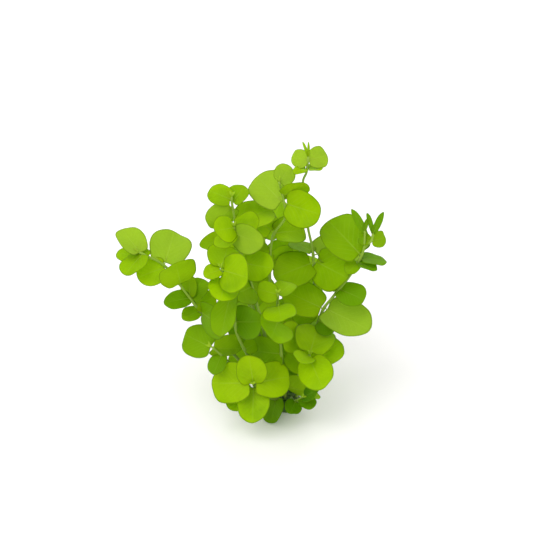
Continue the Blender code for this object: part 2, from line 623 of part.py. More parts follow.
def tube(name, run, radii, collection):
    """A tapered round tube along a run of points, as one closed mesh."""
    curve = bpy.data.curves.new(name, "CURVE")
    curve.dimensions = "3D"
    curve.bevel_depth = MM
    curve.bevel_resolution = 1
    curve.use_fill_caps = True
    spline = curve.splines.new("POLY")
    spline.points.add(len(run) - 1)
    for point, place, radius in zip(spline.points, run, radii):
        point.co = (*(place * MM), 1.0)
        point.radius = radius
    thing = bpy.data.objects.new(name, curve)
    collection.objects.link(thing)
    bpy.context.view_layer.update()
    graph = bpy.context.evaluated_depsgraph_get()
    data = bpy.data.meshes.new_from_object(thing.evaluated_get(graph))
    bpy.data.objects.remove(thing)
    welded = bmesh.new()
    welded.from_mesh(data)
    bmesh.ops.remove_doubles(welded, verts=welded.verts[:], dist=0.00001)
    bmesh.ops.recalc_face_normals(welded, faces=welded.faces[:])
    welded.to_mesh(data)
    welded.free()
    data.name = name
    solid = bpy.data.objects.new(name, data)
    collection.objects.link(solid)
    return solid


def join_to(thing, other):
    """Grow one closed body with another. The exact solver loses thin leaves here."""
    union = thing.modifiers.new("with " + other.name, "BOOLEAN")
    union.operation = "UNION"
    union.solver = "MANIFOLD"
    union.object = other
    other.hide_render = True
    other.display_type = "WIRE"


def make_stem(name, stems, small_leaves, materials, parts, guides):
    """A stem, with its forks and the small leaves and buds that grow out of it."""
    run, shares = stem_run(stems[name], STEM_STEP)
    run[0] = run[0] + unit(run[1] - run[0]) * TOUCH_GAP
    stem = tube("stem_" + name, run, [stem_radius(share) for share in shares], parts)
    for fork, parent in FORKS.items():
        if parent == name:
            run, _ = stem_run(stems[fork], FORK_STEP)
            join_to(stem, tube(fork, run, [STEM_TIP_RADIUS] * len(run), guides))
    stem.data.materials.clear()
    stem.data.materials.append(materials["stem"])
    for leaf in small_leaves:
        grown = make_leaf(leaf, f"small_leaf_{leaf.number}", materials["leaf"], guides)
        join_to(stem, grown)
    return stem


def make_crown(stems, material, parts, guides):
    """A low mound with one short stub for each stem, cut flat on the surface."""
    mesh = bmesh.new()
    bmesh.ops.create_uvsphere(mesh, u_segments=14, v_segments=6, radius=1.0)
    below = [vert for vert in mesh.verts if vert.co.z < -0.01]
    bmesh.ops.delete(mesh, geom=below, context="VERTS")
    rim = [edge for edge in mesh.edges if edge.is_boundary]
    bmesh.ops.contextual_create(mesh, geom=rim)
    for vert in mesh.verts:
        vert.co.x = (vert.co.x * CROWN_RADII[0] + CROWN_CENTRE[0]) * MM
        vert.co.y = (vert.co.y * CROWN_RADII[1] + CROWN_CENTRE[1]) * MM
        vert.co.z = max(0.0, vert.co.z * CROWN_HEIGHT * MM)
    bmesh.ops.recalc_face_normals(mesh, faces=mesh.faces[:])
    data = bpy.data.meshes.new("crown")
    mesh.to_mesh(data)
    mesh.free()
    data.materials.append(material)
    crown = bpy.data.objects.new("crown", data)
    parts.objects.link(crown)
    for name, points in stems.items():
        run, _ = stem_run(points, STEM_STEP)
        stub = tube("stub_" + name, stub_places(run), [STEM_FOOT_RADIUS] * 3, guides)
        join_to(crown, stub)
    return crown


def settle(parts, guides):
    """Move everything so that the origin is below the middle of the whole box."""
    bpy.context.view_layer.update()
    graph = bpy.context.evaluated_depsgraph_get()
    corners = []
    for thing in parts.objects:
        data = thing.evaluated_get(graph).to_mesh()
        place = thing.matrix_world
        corners += [place @ vert.co for vert in data.vertices]
    low = [min(corner[axis] for corner in corners) for axis in range(3)]
    high = [max(corner[axis] for corner in corners) for axis in range(3)]
    shift = Vector((-(low[0] + high[0]) / 2.0, -(low[1] + high[1]) / 2.0, -low[2]))
    for thing in list(parts.objects) + list(guides.objects):
        thing.location = thing.location + shift
    bpy.context.view_layer.update()


def main():
    clear_scene()
    parts = make_collection("creeping_jenny")
    guides = make_collection("guides")
    materials = {
        "leaf": make_material("leaf green", LEAF_COLOUR, 0.45),
        "stem": make_material("stem green", STEM_COLOUR, 0.5),
        "crown": make_material("old stem", CROWN_COLOUR, 0.8),
    }
    stems = {name: stem_places(name) for name in STEMS}
    runs = {name: stem_run(points, 2.0)[0] for name, points in stems.items()}
    for name in FEET:
        runs[name] = np.concatenate([np.linspace(*stub_places(runs[name])[:2], 5), runs[name]])
    leaves = [Leaf(number, row, stems) for number, row in enumerate(LEAVES, start=1)]
    spread(leaves, runs)
    whole = {name: points for name, points in stems.items() if name not in FORKS}
    make_crown(whole, materials["crown"], parts, guides)
    for name in whole:
        grown = [leaf for leaf in leaves if FORKS.get(leaf.stem, leaf.stem) == name]
        small = [leaf for leaf in grown if not leaf.own]
        make_stem(name, stems, small, materials, parts, guides)
        for leaf in grown:
            if leaf.own:
                make_leaf(leaf, f"leaf_{name}_{leaf.number}", materials["leaf"], parts)
    settle(parts, guides)


main()
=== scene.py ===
# The looks of a creeping jenny clump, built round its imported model: fine leaves with veins and petioles,
# ribbed stems, and a rooty crown. Layout in millimetres, objects in metres, +Z up.

import math

import bmesh
import bpy
import numpy as np
from mathutils import Matrix, Vector


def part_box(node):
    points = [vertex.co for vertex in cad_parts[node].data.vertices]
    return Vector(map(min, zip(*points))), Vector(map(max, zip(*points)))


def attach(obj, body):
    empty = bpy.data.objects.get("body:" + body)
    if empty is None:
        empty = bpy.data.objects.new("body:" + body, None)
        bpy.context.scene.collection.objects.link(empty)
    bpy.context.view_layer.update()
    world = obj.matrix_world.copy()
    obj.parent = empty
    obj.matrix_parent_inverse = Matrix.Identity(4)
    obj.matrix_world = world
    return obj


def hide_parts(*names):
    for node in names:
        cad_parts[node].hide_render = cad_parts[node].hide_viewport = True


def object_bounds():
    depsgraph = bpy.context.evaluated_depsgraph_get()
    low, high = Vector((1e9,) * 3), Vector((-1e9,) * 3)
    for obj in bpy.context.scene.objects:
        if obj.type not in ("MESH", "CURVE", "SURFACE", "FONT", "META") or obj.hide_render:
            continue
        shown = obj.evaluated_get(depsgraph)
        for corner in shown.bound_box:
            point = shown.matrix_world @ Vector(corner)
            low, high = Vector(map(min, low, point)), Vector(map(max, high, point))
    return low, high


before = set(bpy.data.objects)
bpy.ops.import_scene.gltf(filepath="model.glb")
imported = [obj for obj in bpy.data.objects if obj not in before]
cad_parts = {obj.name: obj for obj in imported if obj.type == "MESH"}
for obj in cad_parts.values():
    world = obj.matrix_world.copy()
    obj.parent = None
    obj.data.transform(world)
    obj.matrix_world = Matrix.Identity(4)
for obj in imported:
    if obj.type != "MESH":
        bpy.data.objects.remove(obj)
cad_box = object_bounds()

MM = 0.001

# The view that the layout is written in. A place is (u, v, y) in millimetres: u to the right and v up
# in the picture plane through the middle of the crown's foot, and y away from the viewer.
VIEW_ELEVATION = math.radians(28.0)
VIEW_DISTANCE = 800.0
VIEW_CENTRE = (-5.4, 78.0)
SIN_E = math.sin(VIEW_ELEVATION)
COS_E = math.cos(VIEW_ELEVATION)
VIEW_UP = np.array([0.0, SIN_E, COS_E])
TO_VIEWER = np.array([0.0, -COS_E, SIN_E])
EYE = np.array([VIEW_CENTRE[0], 0.0, 0.0]) + VIEW_UP * VIEW_CENTRE[1] + TO_VIEWER * VIEW_DISTANCE

# Crown: the short knot of old stem bases, in millimetres
CROWN_CENTRE = (-1.0, 3.0)
CROWN_RADII = (13.0, 12.0)
CROWN_HEIGHT = 6.5
STUB_TOP = 9.0
STUB_FOOT = 2.0
STUB_LENGTH = 2.0

# Stems, in millimetres
STEM_FOOT_RADIUS = 1.0
STEM_TIP_RADIUS = 0.6
STEM_STEP = 10.5
PLACE_STEP = 0.1
DOT_SPACING = 2.0
STUB_DOTS = 5

# Leaves, in millimetres. Leaves as wide as OWN_LEAF_WIDTH are solids of their own, the others are one
# with their stem.
LEAF_THICKNESS = 0.6
PETIOLE_HALF_WIDTH = 0.45
PETIOLE_LENGTH = 0.8
OWN_LEAF_WIDTH = 17.2
LEAF_GAP = 0.55
FLOOR_GAP = 0.15

# Leaf form, as shares of a leaf's length or width
PETIOLE_SHARE = 0.04
SLIM_RATIO = 2.6
OVAL_SHARE = 0.78
CUP = (0.10, 0.10)
DROOP = (0.05, 0.06)
BASE_LOBE = 0.05
TIP_NARROWING = 0.06
ROUNDING = 0.85

# How a leaf is aimed from the view
FACING_SLACK = 1.06
AIM_ROUNDS = 5
SIDEWAYS_SHARE = 0.9
ROOT_DEPTH = 0.2
OUTWARD_LEAN = 0.5

# How far the middle of a leaf's blade is kept from other blades and from the middles of stems, and how
# far past its edge that still holds, in millimetres
LEAF_CLEARANCE = 1.25
STEM_CLEARANCE = 1.75
LEAF_MARGIN = 0.6
STEM_MARGIN = 1.0
CROWN_CLEARANCE = 1.2

# How the leaves are turned until they are clear, and which others each one is held away from
RELAX_ROUNDS = 440
AIM_EVERY = 8
AIM_UNTIL = 240
AIM_TURN = 0.15
SMALLEST_SIZE = 0.92
LARGEST_SIZE = 1.12
SETTLED = 0.0002
LARGEST_TURN = 0.05
TURN_SHARE = 0.6
SHORTEST_ARM = 3.0
FARTHEST_PUSH = 3.0
OUT_OF_REACH = 9.0
NEIGHBOUR_SHARE = 0.62
OWN_STEM_FREE = 4.5
YOUNG_LEAF_WIDTH = 8.5

# The rings of points that stand for a blade there: the share of its edge, and how many points
SAMPLE_RINGS = ((0.5, 8), (0.8, 12), (1.0, 16))

# Where each stem leaves the crown, across and away from the viewer
FEET = {
    "left_long": (-10, 3), "left_low": (-9, -1.5), "left_front": (-6, -4.5), "left_middle": (-5, 1),
    "left_back": (-5, 6.5), "centre": (0, 4), "top_right": (6, 6.5), "right": (10, 3),
    "front_centre": (0.5, -3.5), "front_right": (7.5, -3), "front_low": (-3, -7.3),
    "front_base": (4.5, -7),
    "back_left": (-8.5, 10), "back_centre": (-1, 12), "back_right": (5, 11.5),
}

# Stems: the places that each passes through after that, up to its tip
STEMS = {
    "left_long": [(-20, 19, 0), (-41.4, 43.8, -6), (-50.7, 56.4, -8),
                  (-60.6, 69.6, -9), (-70.8, 82.8, -9), (-83.4, 90, -9), (-87, 91.5, -9)],
    "left_low": [(-20, 14, -8), (-31, 24, -13), (-41, 33, -16), (-43.5, 35, -16)],
    "left_front": [(-16, 20, -9), (-28, 42, -18), (-29.5, 55, -20),
                   (-31.5, 66, -21), (-37, 80, -22), (-37.6, 82, -22)],
    "left_middle": [(-9, 30, -2), (-16, 60, -6), (-23.5, 85, -9), (-29, 101, -10),
                    (-30, 107, -10)],
    "left_back": [(-12, 32, 8), (-19, 60, 8), (-25, 85, 7), (-28.8, 107, 8),
                  (-31.2, 121, 9), (-31.2, 125, 9)],
    "centre": [(-4, 35, 7), (-7.5, 60, 10), (-8.4, 78, 12), (-7.0, 100, 12),
               (0.5, 112, 12), (0, 122, 13), (-3, 134, 13)],
    "top_right": [(10, 32, 11), (15, 50, 13), (18.2, 68, 14), (17.4, 91, 14),
                  (14.2, 107.6, 16), (11.3, 131.7, 17), (13.6, 140, 17), (14.6, 149, 17)],
    "right": [(14, 30, 5), (20, 48, 2), (23.6, 57.5, 0), (29.6, 65.2, -2),
              (38.8, 76.6, -2), (44.6, 85.8, -2), (48.0, 94, -2), (48.4, 104.5, -2)],
    "right_fork": [(48.0, 94, -2), (51.0, 97, -3), (52.6, 99, -3), (53.4, 103, -3)],
    "front_centre": [(-1, 20, -11), (-2, 38, -18), (-3.5, 55, -25), (-3.6, 67, -30)],
    "front_right": [(11, 14, -12), (14, 24, -20), (15.4, 30.5, -24)],
    "front_low": [(-11, 5, -14), (-17, 10.5, -20), (-18.5, 13, -30)],
    "front_base": [(6, 2, -14), (10, 4, -20), (11.5, 5, -23)],
    "back_left": [(-14, 36, 24), (-21, 60, 34), (-26, 80, 40), (-27, 88, 42)],
    "back_centre": [(-4, 40, 30), (-7, 64, 44), (-10, 86, 54), (-12, 100, 58)],
    "back_right": [(10, 34, 28), (14, 56, 42), (13, 74, 52), (12, 82, 56)],
}

# A fork grows out of its stem, and is one piece with it
FORKS = {"right_fork": "right"}

# Leaves, stem by stem and counted from 1: the place along the stem, where the tip is in the view, and the
# width seen there. A leaf shows its upper face unless it is "under", a "near" one leans toward the viewer,
# an "oval" one is longer than it is wide, and "slim" ones are young and narrow.
LEAVES = [
    ("left_long", [(6.6, -97, 105.2, 13.5), (5.7, -100.3, 91, 10.5, "oval"), (6.2, -95, 78.8, 10),
        (5.1, -66, 103.5, 22), (5, -87.5, 76.5, 15.5), (4.2, -65, 85.5, 18.5, "under"),
        (3.6, -71, 61.3, 8.5, "oval"), (3.6, -57, 76.5, 8, "oval"), (3.5, -49, 75.5, 14),
        (3.3, -41.5, 64, 13), (3, -60.5, 52, 8.5), (3, -34, 44, 18)]),
    ("left_low", [(3.6, -59, 42, 19), (3.4, -26, 34, 14, "under"), (2.6, -42, 19, 9)]),
    ("left_front", [(5.4, -33.5, 96.5, 17.1), (5.2, -21.5, 76.5, 20.5), (5.2, -47.8, 78, 8),
        (4.6, -38, 63.5, 17), (4, -37, 42, 11), (2.6, -14, 50, 18)]),
    ("left_middle", [(4.8, -41, 104.5, 14.5), (4.8, -15.8, 110.5, 13), (4.2, -13, 97, 15),
        (4.2, -40.5, 95, 10), (3, -7.5, 82, 17), (2.4, -31, 66, 17), (1.8, 0, 56, 17)]),
    ("left_back", [(5.3, -44.8, 128.5, 11.5), (5, -24, 131, 10.5), (4.8, -43.5, 107, 13, "under"),
        (3.5, -49.2, 98, 11.5, "under"), (4.1, -8, 117.5, 17), (3, -11.9, 96.6, 15), (3, -38, 86, 13),
        (1.6, -33, 43, 17)]),
    ("centre", [(5.9, -16, 136.8, 21), (6.9, 3.2, 142.8, 12), (6.3, 14, 131, 8.5, "under"),
        (5.9, 20.8, 114.5, 20.5), (4.2, 12.5, 104.5, 13), (4.2, -24, 117, 17), (3.3, -24, 92, 17),
        (3.4, 6, 88, 15), (2.2, -20, 74, 17)]),
    ("top_right", [(7.7, 5.2, 148.5, 10.5), (7.7, 25.2, 149.8, 12), (7.2, 5.8, 139, 4),
        (7.2, 22.8, 143, 4), (8, 11.4, 157.6, 1.5, "slim"), (8, 14.8, 157.8, 1.5, "slim"),
        (4.05, 4, 97.5, 7)]),
    ("right", [(6.5, 27, 110, 23.5)]),
    ("top_right", [(3.95, 44, 93, 13, "oval"), (3.8, 37.5, 76.5, 21), (3.75, -5, 76.5, 19.5),
        (2.6, 7, 50, 14), (2, 29, 47.5, 9)]),
    ("right", [(7.9, 41.2, 116.6, 4.2, "slim"), (8, 49.8, 111.5, 2.2, "slim")]),
    ("right_fork", [(3, 50, 115, 2.6, "slim"), (3, 59.4, 115, 3.6, "slim"), (1.9, 60.6, 100, 9),
        (1.7, 45.2, 100.5, 7)]),
    ("right", [(6.2, 61.2, 86.5, 7.5), (6, 55, 81, 5), (6, 38, 79, 7), (4.2, 28.3, 75.5, 4.5),
        (4.4, 47.8, 63, 13.5), (3.1, 49.5, 45.5, 21), (3, 1, 68, 18), (2.2, 30, 44.5, 11.5)]),
    ("front_centre", [(3.9, -13, 69, 12.5), (3.8, 4.5, 73, 11.5), (3.4, -1.5, 50.5, 17.5),
        (2.8, -9, 37, 20), (0.5, 20, 7, 16), (1.6, -19, 33, 17), (2, 12, 43, 17)]),
    ("front_right", [(2.9, 20, 46.5, 20.5), (2.8, 8.4, 26.5, 12), (2.7, 21.5, 13.8, 21),
        (2.1, 33, 37, 18), (1.7, 2, 31, 13)]),
    ("front_base", [(2.3, 17.5, -1.5, 9.5), (2.9, 21.6, 9.5, 7.5)]),
    ("front_low", [(2.95, -42.3, 13, 24), (2.95, 2.8, 17, 22), (2.9, -21, 29, 17, "near"),
        (2.5, -19, -9.3, 19), (2, -31.5, -1, 15), (0.3, -7.5, -10.5, 10.5)]),
    ("front_base", [(1.3, 3.5, -5, 9.5)]),
    ("back_left", [(3.6, -36, 92, 18.5), (3.6, -18, 94, 18.5), (2.6, -39, 67, 18.5),
        (2.6, -14, 71, 18.5), (1.4, -33, 49, 18.5), (0.8, -30, 22, 17), (1.7, -27, 63, 17)]),
    ("back_centre", [(3.7, -20, 106, 18.5), (3.9, -2, 121, 18.5), (2.8, 5, 97, 18.5),
        (2.6, -20, 82, 18.5), (1.5, 5, 56, 18.5), (1.3, -22, 38, 18.5), (0.7, -17, 26, 17),
        (0.7, 11, 27, 17)]),
    ("back_right", [(3.7, 22, 84, 18.5), (3.7, 1, 86, 18.5), (2.6, 22, 72, 12), (2.6, 3, 68, 18.5),
        (1.5, 22, 42, 18.5), (0.8, 22, 24, 15), (1.5, -3, 44, 17)]),
    ("centre", [(0.6, 8, 19, 10.9)]),
    ("left_front", [(1.6, -17, 37, 9)]),
]


def from_view(u, v, w):
    """A world point from the picture plane and a depth w toward the viewer."""
    shrink = (VIEW_DISTANCE - w) / VIEW_DISTANCE
    flat_u = VIEW_CENTRE[0] + (u - VIEW_CENTRE[0]) * shrink
    flat_v = VIEW_CENTRE[1] + (v - VIEW_CENTRE[1]) * shrink
    return np.array([flat_u, flat_v * SIN_E - w * COS_E, flat_v * COS_E + w * SIN_E])


def from_side(u, v, y):
    """A world point from the picture plane and its distance y away from the viewer."""
    over = (v - VIEW_CENTRE[1]) / VIEW_DISTANCE
    flat_v = (v + over * y / COS_E) / (1.0 + over * SIN_E / COS_E)
    return from_view(u, v, flat_v * SIN_E / COS_E - y / COS_E)


def to_view(point):
    """Where a world point shows in the picture plane."""
    depth = np.dot(point, TO_VIEWER)
    grow = VIEW_DISTANCE / (VIEW_DISTANCE - depth)
    return np.array([VIEW_CENTRE[0] + (point[0] - VIEW_CENTRE[0]) * grow,
                     VIEW_CENTRE[1] + (np.dot(point, VIEW_UP) - VIEW_CENTRE[1]) * grow])


def unit(vector):
    return vector / np.linalg.norm(vector)


def turned(vector, axis, angle):
    """The vector turned about a unit axis."""
    across = np.cross(axis, vector)
    along = axis * np.dot(axis, vector)
    return vector * math.cos(angle) + across * math.sin(angle) + along * (1.0 - math.cos(angle))


def stem_places(name):
    """The world points of a stem, from the top of its stub on the crown."""
    places = [from_side(*point) for point in STEMS[name]]
    if name in FEET:
        places.insert(0, np.array([*FEET[name], STUB_TOP]))
    return np.array(places)


def stem_point(points, place):
    """A point on the smooth curve through a stem's points, at a place counted in points."""
    last = len(points) - 1
    step = min(int(place), last - 1)
    t = place - step
    before = points[max(step - 1, 0)]
    start = points[step]
    end = points[step + 1]
    after = points[min(step + 2, last)]
    return 0.5 * (2.0 * start + (end - before) * t
                  + (2.0 * before - 5.0 * start + 4.0 * end - after) * t ** 2
                  + (3.0 * start - before - 3.0 * end + after) * t ** 3)


def stem_run(points, spacing):
    """Points along the smooth curve, about one spacing apart, with their share of its length."""
    fine = np.array([stem_point(points, place) for place in np.linspace(0, len(points) - 1, 400)])
    lengths = np.concatenate([[0.0], np.cumsum(np.linalg.norm(np.diff(fine, axis=0), axis=1))])
    count = max(4, round(lengths[-1] / spacing) + 1)
    wanted = np.linspace(0.0, lengths[-1], count)
    run = np.stack([np.interp(wanted, lengths, fine[:, axis]) for axis in range(3)], axis=1)
    return run, wanted / lengths[-1]


def stub_places(run):
    """The points of the stub below a stem: inside the mound, at the bend, and at the stem's foot."""
    below = run[0] - unit(run[1] - run[0]) * STUB_LENGTH
    inside = np.array([(below[0] + CROWN_CENTRE[0]) / 2.0, (below[1] + CROWN_CENTRE[1]) / 2.0, STUB_FOOT])
    return np.array([inside, below, run[0]])


def stem_radius(share):
    return STEM_FOOT_RADIUS + (STEM_TIP_RADIUS - STEM_FOOT_RADIUS) * share


class Leaf:
    """One leaf: where it grows from, which way it points and faces, and its own form."""

    def __init__(self, number, stem, points, place, u, v, seen_width, kind=""):
        self.number = number
        self.stem = stem
        self.share = place / (len(points) - 1)
        self.joint = stem_point(points, place)
        ahead = stem_point(points, min(place + PLACE_STEP, len(points) - 1.0))
        behind = stem_point(points, max(place - PLACE_STEP, 0.0))
        stem_line = unit(ahead - behind)
        radius = stem_radius(self.share)
        self.cup = CUP[0] + CUP[1] * math.sin(1.9 * number)
        self.droop = DROOP[0] + DROOP[1] * math.sin(2.9 * number + 1.0)
        self.base = self.joint
        self.tip = np.array([u, v], dtype=float)
        self.size = 1.0
        aim = self.tip
        for _ in range(AIM_ROUNDS):
            self.point_at(aim, seen_width, kind)
            self.own = self.width >= OWN_LEAF_WIDTH
            out = unit(self.axis - stem_line * np.dot(self.axis, stem_line) * SIDEWAYS_SHARE)
            self.base = self.joint + out * (radius + LEAF_GAP if self.own else -radius * ROOT_DEPTH)
            aim = aim + (self.tip - self.reached())

    def point_at(self, aim, seen_width, kind):
        """Size and turn the leaf so that its tip and its width look as they do in the view."""
        to_eye = unit(EYE - self.base)
        reach = from_view(aim[0], aim[1], np.dot(self.base, TO_VIEWER)) - self.base
        reach -= to_eye * np.dot(reach, to_eye)
        seen_length = np.linalg.norm(reach)
        reach /= seen_length
        if kind == "slim":
            self.width = seen_width * FACING_SLACK
            self.petiole = PETIOLE_LENGTH
            self.length = max(seen_length * FACING_SLACK - self.petiole, self.width * SLIM_RATIO)
        else:
            blade = (seen_length - PETIOLE_LENGTH) / (1.0 + PETIOLE_SHARE)
            self.length = max(seen_width, blade * FACING_SLACK)
            self.width = max(seen_width, self.length * (OVAL_SHARE if kind == "oval" else 1.0))
            self.petiole = PETIOLE_LENGTH + PETIOLE_SHARE * self.length

        # The tilt that shortens the leaf in the view, and the roll that narrows it
        under = kind == "under"
        tilt = math.acos(min(1.0, seen_length / (self.petiole + self.length)))
        roll = math.acos(min(1.0, seen_width / self.width))
        away = (reach[2] > 0.0) != under and kind != "near"
        self.axis = unit(reach * math.cos(tilt) - to_eye * math.sin(tilt) * (1.0 if away else -1.0))
        flat = unit(to_eye - self.axis * np.dot(to_eye, self.axis))
        lean = math.copysign(OUTWARD_LEAN, self.joint[0])
        outward = np.array([lean, 0.0, -1.0 if under else 1.0])
        facing = max((turned(flat, self.axis, roll), turned(flat, self.axis, -roll)),
                     key=lambda way: np.dot(way, outward))
        self.upper = -facing if under else facing

    def reached(self):
        """Where the leaf's tip shows in the view."""
        end = np.array([0.0, self.petiole + self.length])
        return to_view(self.base + self.frame() @ np.array([*end, float(self.sheet(*end))]))

    def aim_again(self):
        """Turn about the line of sight, and grow or shrink a little, to reach the tip's place again."""
        start = to_view(self.base)
        now = self.reached() - start
        wanted = self.tip - start
        angle = math.atan2(now[0] * wanted[1] - now[1] * wanted[0], np.dot(now, wanted))
        angle = min(AIM_TURN, max(-AIM_TURN, angle * 0.5))
        to_eye = unit(EYE - self.base)
        self.axis = turned(self.axis, to_eye, angle)
        self.upper = turned(self.upper, to_eye, angle)
        grow = np.linalg.norm(wanted) / max(np.linalg.norm(now), 1.0)
        size = min(LARGEST_SIZE, max(SMALLEST_SIZE, self.size * grow))
        self.width *= size / self.size
        self.length *= size / self.size
        self.petiole *= size / self.size
        self.size = size

    def frame(self):
        """The side, tip and upper directions as the columns of a turn."""
        return np.stack([np.cross(self.axis, self.upper), self.axis, self.upper], axis=1)

    def sheet(self, x, y):
        """Height of the middle of the blade over its own flat plane."""
        over = np.clip((y - self.petiole) / self.length, 0.0, 1.2)
        return self.width * (self.cup * (x / self.width) ** 2 * 2.0 - self.droop * over ** 2)

    def rim(self, turn):
        """A point of the blade's edge; turn runs from 0 at the petiole to pi at the tip."""
        along = (1.0 - np.sign(np.cos(turn)) * np.abs(np.cos(turn)) ** ROUNDING) / 2.0
        lobe = BASE_LOBE * np.sin(turn) ** 2 * (1.0 - along)
        point = TIP_NARROWING * along ** 5
        x = self.width / 2.0 * np.abs(np.sin(turn)) ** ROUNDING * (1.0 - point)
        y = self.petiole + self.length * (along - lobe)
        return x, y

    def half_width(self, y):
        """Half the leaf's width at a distance y from the stem, with the petiole's below the blade."""
        over = np.clip((y - self.petiole) / self.length, 0.0, 1.0)
        blade = self.width / 2.0 * (1.0 - np.abs(2.0 * over - 1.0) ** (2.0 / ROUNDING)) ** (ROUNDING / 2.0)
        inside = (y > 0.0) & (y < self.petiole + self.length)
        return np.where(inside, np.maximum(blade, PETIOLE_HALF_WIDTH), -99.0)

    def samples(self):
        """Points over the blade and the petiole, in the leaf's own axes."""
        x = [0.0, 0.0]
        y = [self.petiole * 0.6, self.petiole + self.length / 2.0]
        middle = self.petiole + self.length / 2.0
        for ring, count in SAMPLE_RINGS:
            for turn in np.linspace(0.0, 2.0 * math.pi, count, endpoint=False):
                edge_x, edge_y = self.rim(abs(turn if turn <= math.pi else 2.0 * math.pi - turn))
                sign = 1.0 if turn <= math.pi else -1.0
                x.append(sign * edge_x * ring)
                y.append(middle + (edge_y - middle) * ring)
        x = np.array(x)
        y = np.array(y)
        return np.stack([x, y, self.sheet(x, y)], axis=1)


def torques(points, moves, bases):
    """How the moves of some points would turn leaves about their bases."""
    arms = points - bases
    size = np.maximum(np.sum(arms ** 2, axis=-1, keepdims=True), SHORTEST_ARM ** 2)
    return np.cross(arms, moves) / size


def pushes(leaf, points, groups, clearance, margin):
    """How far each point must move along the leaf's upper side to stand clear of it.

    The points of one group, such as another leaf or a stem, all go to the side where most of them are.
    """
    flat = (points - leaf.base) @ leaf.frame()
    height = flat[:, 2] - leaf.sheet(flat[:, 0], flat[:, 1])
    inside = np.abs(flat[:, 0]) < leaf.half_width(flat[:, 1]) + margin
    inside &= np.abs(height) < OUT_OF_REACH
    sums = np.bincount(groups, weights=np.where(inside, height, 0.0), minlength=groups.max() + 1)
    side = np.where(sums >= 0.0, 1.0, -1.0)[groups]
    lack = np.where(inside, clearance - side * height, 0.0)
    return np.clip(lack, 0.0, FARTHEST_PUSH) * side


def spread(leaves, runs):
    """Turn the leaves about their own joints until none cuts another, a stem, the crown or the floor."""
    count = len(leaves)
    local = np.array([leaf.samples() for leaf in leaves])
    dots_each = local.shape[1]
    reach = np.array([leaf.petiole + leaf.length for leaf in leaves])
    bases = np.array([leaf.base for leaf in leaves])
    leaf_groups = np.repeat(np.arange(count), dots_each)
    stem_dots = np.concatenate(list(runs.values()))
    stem_groups = np.repeat(np.arange(len(runs)), [len(run) for run in runs.values()])
    names = [FORKS.get(name, name) for name in runs]
    own_stem = np.array([names.index(FORKS.get(leaf.stem, leaf.stem)) for leaf in leaves])
    dot_stem = np.array([names.index(name) for name in names])[stem_groups]
    young = np.array([leaf.width < YOUNG_LEAF_WIDTH for leaf in leaves])
    fused = np.array([not leaf.own for leaf in leaves])
    lowest = LEAF_THICKNESS / 2.0 + FLOOR_GAP
    crown_size = np.array([*CROWN_RADII, CROWN_HEIGHT]) + CROWN_CLEARANCE
    crown_middle = np.array([*CROWN_CENTRE, 0.0])
    upward = np.array([0.0, 0.0, 1.0])
    moving = np.ones(count, bool)
    for number in range(RELAX_ROUNDS):
        if number < AIM_UNTIL and number % AIM_EVERY == AIM_EVERY - 1:
            for leaf in leaves:
                leaf.aim_again()
            local = np.array([leaf.samples() for leaf in leaves])
            moving[:] = True
        frames = np.array([leaf.frame() for leaf in leaves])
        world = bases[:, None, :] + np.einsum("nsk,njk->nsj", local, frames)
        centres = world.mean(axis=1)
        turn = np.zeros((count, 3))
        used = np.zeros(count)
        for i, leaf in enumerate(leaves):
            near = np.linalg.norm(centres - centres[i], axis=1) < (reach + reach[i]) * NEIGHBOUR_SHARE
            near &= moving | moving[i]
            near[i] = False
            near &= ~((own_stem == own_stem[i]) & fused & fused[i] & (young | young[i]))
            chosen = np.flatnonzero(near)
            if len(chosen):
                points = world[chosen].reshape(-1, 3)
                groups = np.repeat(np.arange(len(chosen)), dots_each)
                push = pushes(leaf, points, groups, LEAF_CLEARANCE, LEAF_MARGIN)
                if push.any():
                    moves = push[:, None] * leaf.upper * 0.5
                    others = np.repeat(bases[chosen], dots_each, axis=0)
                    turned_others = torques(points, moves, others).reshape(len(chosen), dots_each, 3)
                    np.add.at(turn, chosen, turned_others.sum(axis=1))
                    hits = (push != 0.0).reshape(len(chosen), dots_each).sum(axis=1)
                    np.add.at(used, chosen, hits)
                    turn[i] -= torques(points, moves, leaf.base).sum(axis=0)
                    used[i] += hits.sum()
            if not moving[i]:
                continue
            gap = np.linalg.norm(stem_dots - leaf.joint, axis=1)
            near_dots = gap < reach[i] + STEM_CLEARANCE + STEM_MARGIN
            near_dots &= (dot_stem != own_stem[i]) | ((gap > OWN_STEM_FREE) & ~young[i])
            dots = stem_dots[near_dots]
            if len(dots):
                push = pushes(leaf, dots, stem_groups[near_dots], STEM_CLEARANCE, STEM_MARGIN)
                turn[i] -= torques(dots, push[:, None] * leaf.upper, leaf.base).sum(axis=0)
                used[i] += np.count_nonzero(push)
            sunk = np.maximum(0.0, lowest - world[i][:, 2])
            from_crown = np.linalg.norm((world[i] - crown_middle) / crown_size, axis=1)
            sunk = np.maximum(sunk, (1.0 - from_crown) * CROWN_HEIGHT)
            turn[i] += torques(world[i], sunk[:, None] * upward, leaf.base).sum(axis=0)
            used[i] += np.count_nonzero(sunk)
        angles = np.linalg.norm(turn, axis=1) / np.sqrt(np.maximum(used, 1.0)) * TURN_SHARE
        moving = angles > SETTLED
        if not moving.any():
            break
        for i in np.flatnonzero(moving):
            leaf = leaves[i]
            axis = unit(turn[i])
            angle = min(angles[i], LARGEST_TURN)
            leaf.axis = unit(turned(leaf.axis, axis, angle))
            upper = turned(leaf.upper, axis, angle)
            leaf.upper = unit(upper - leaf.axis * np.dot(upper, leaf.axis))


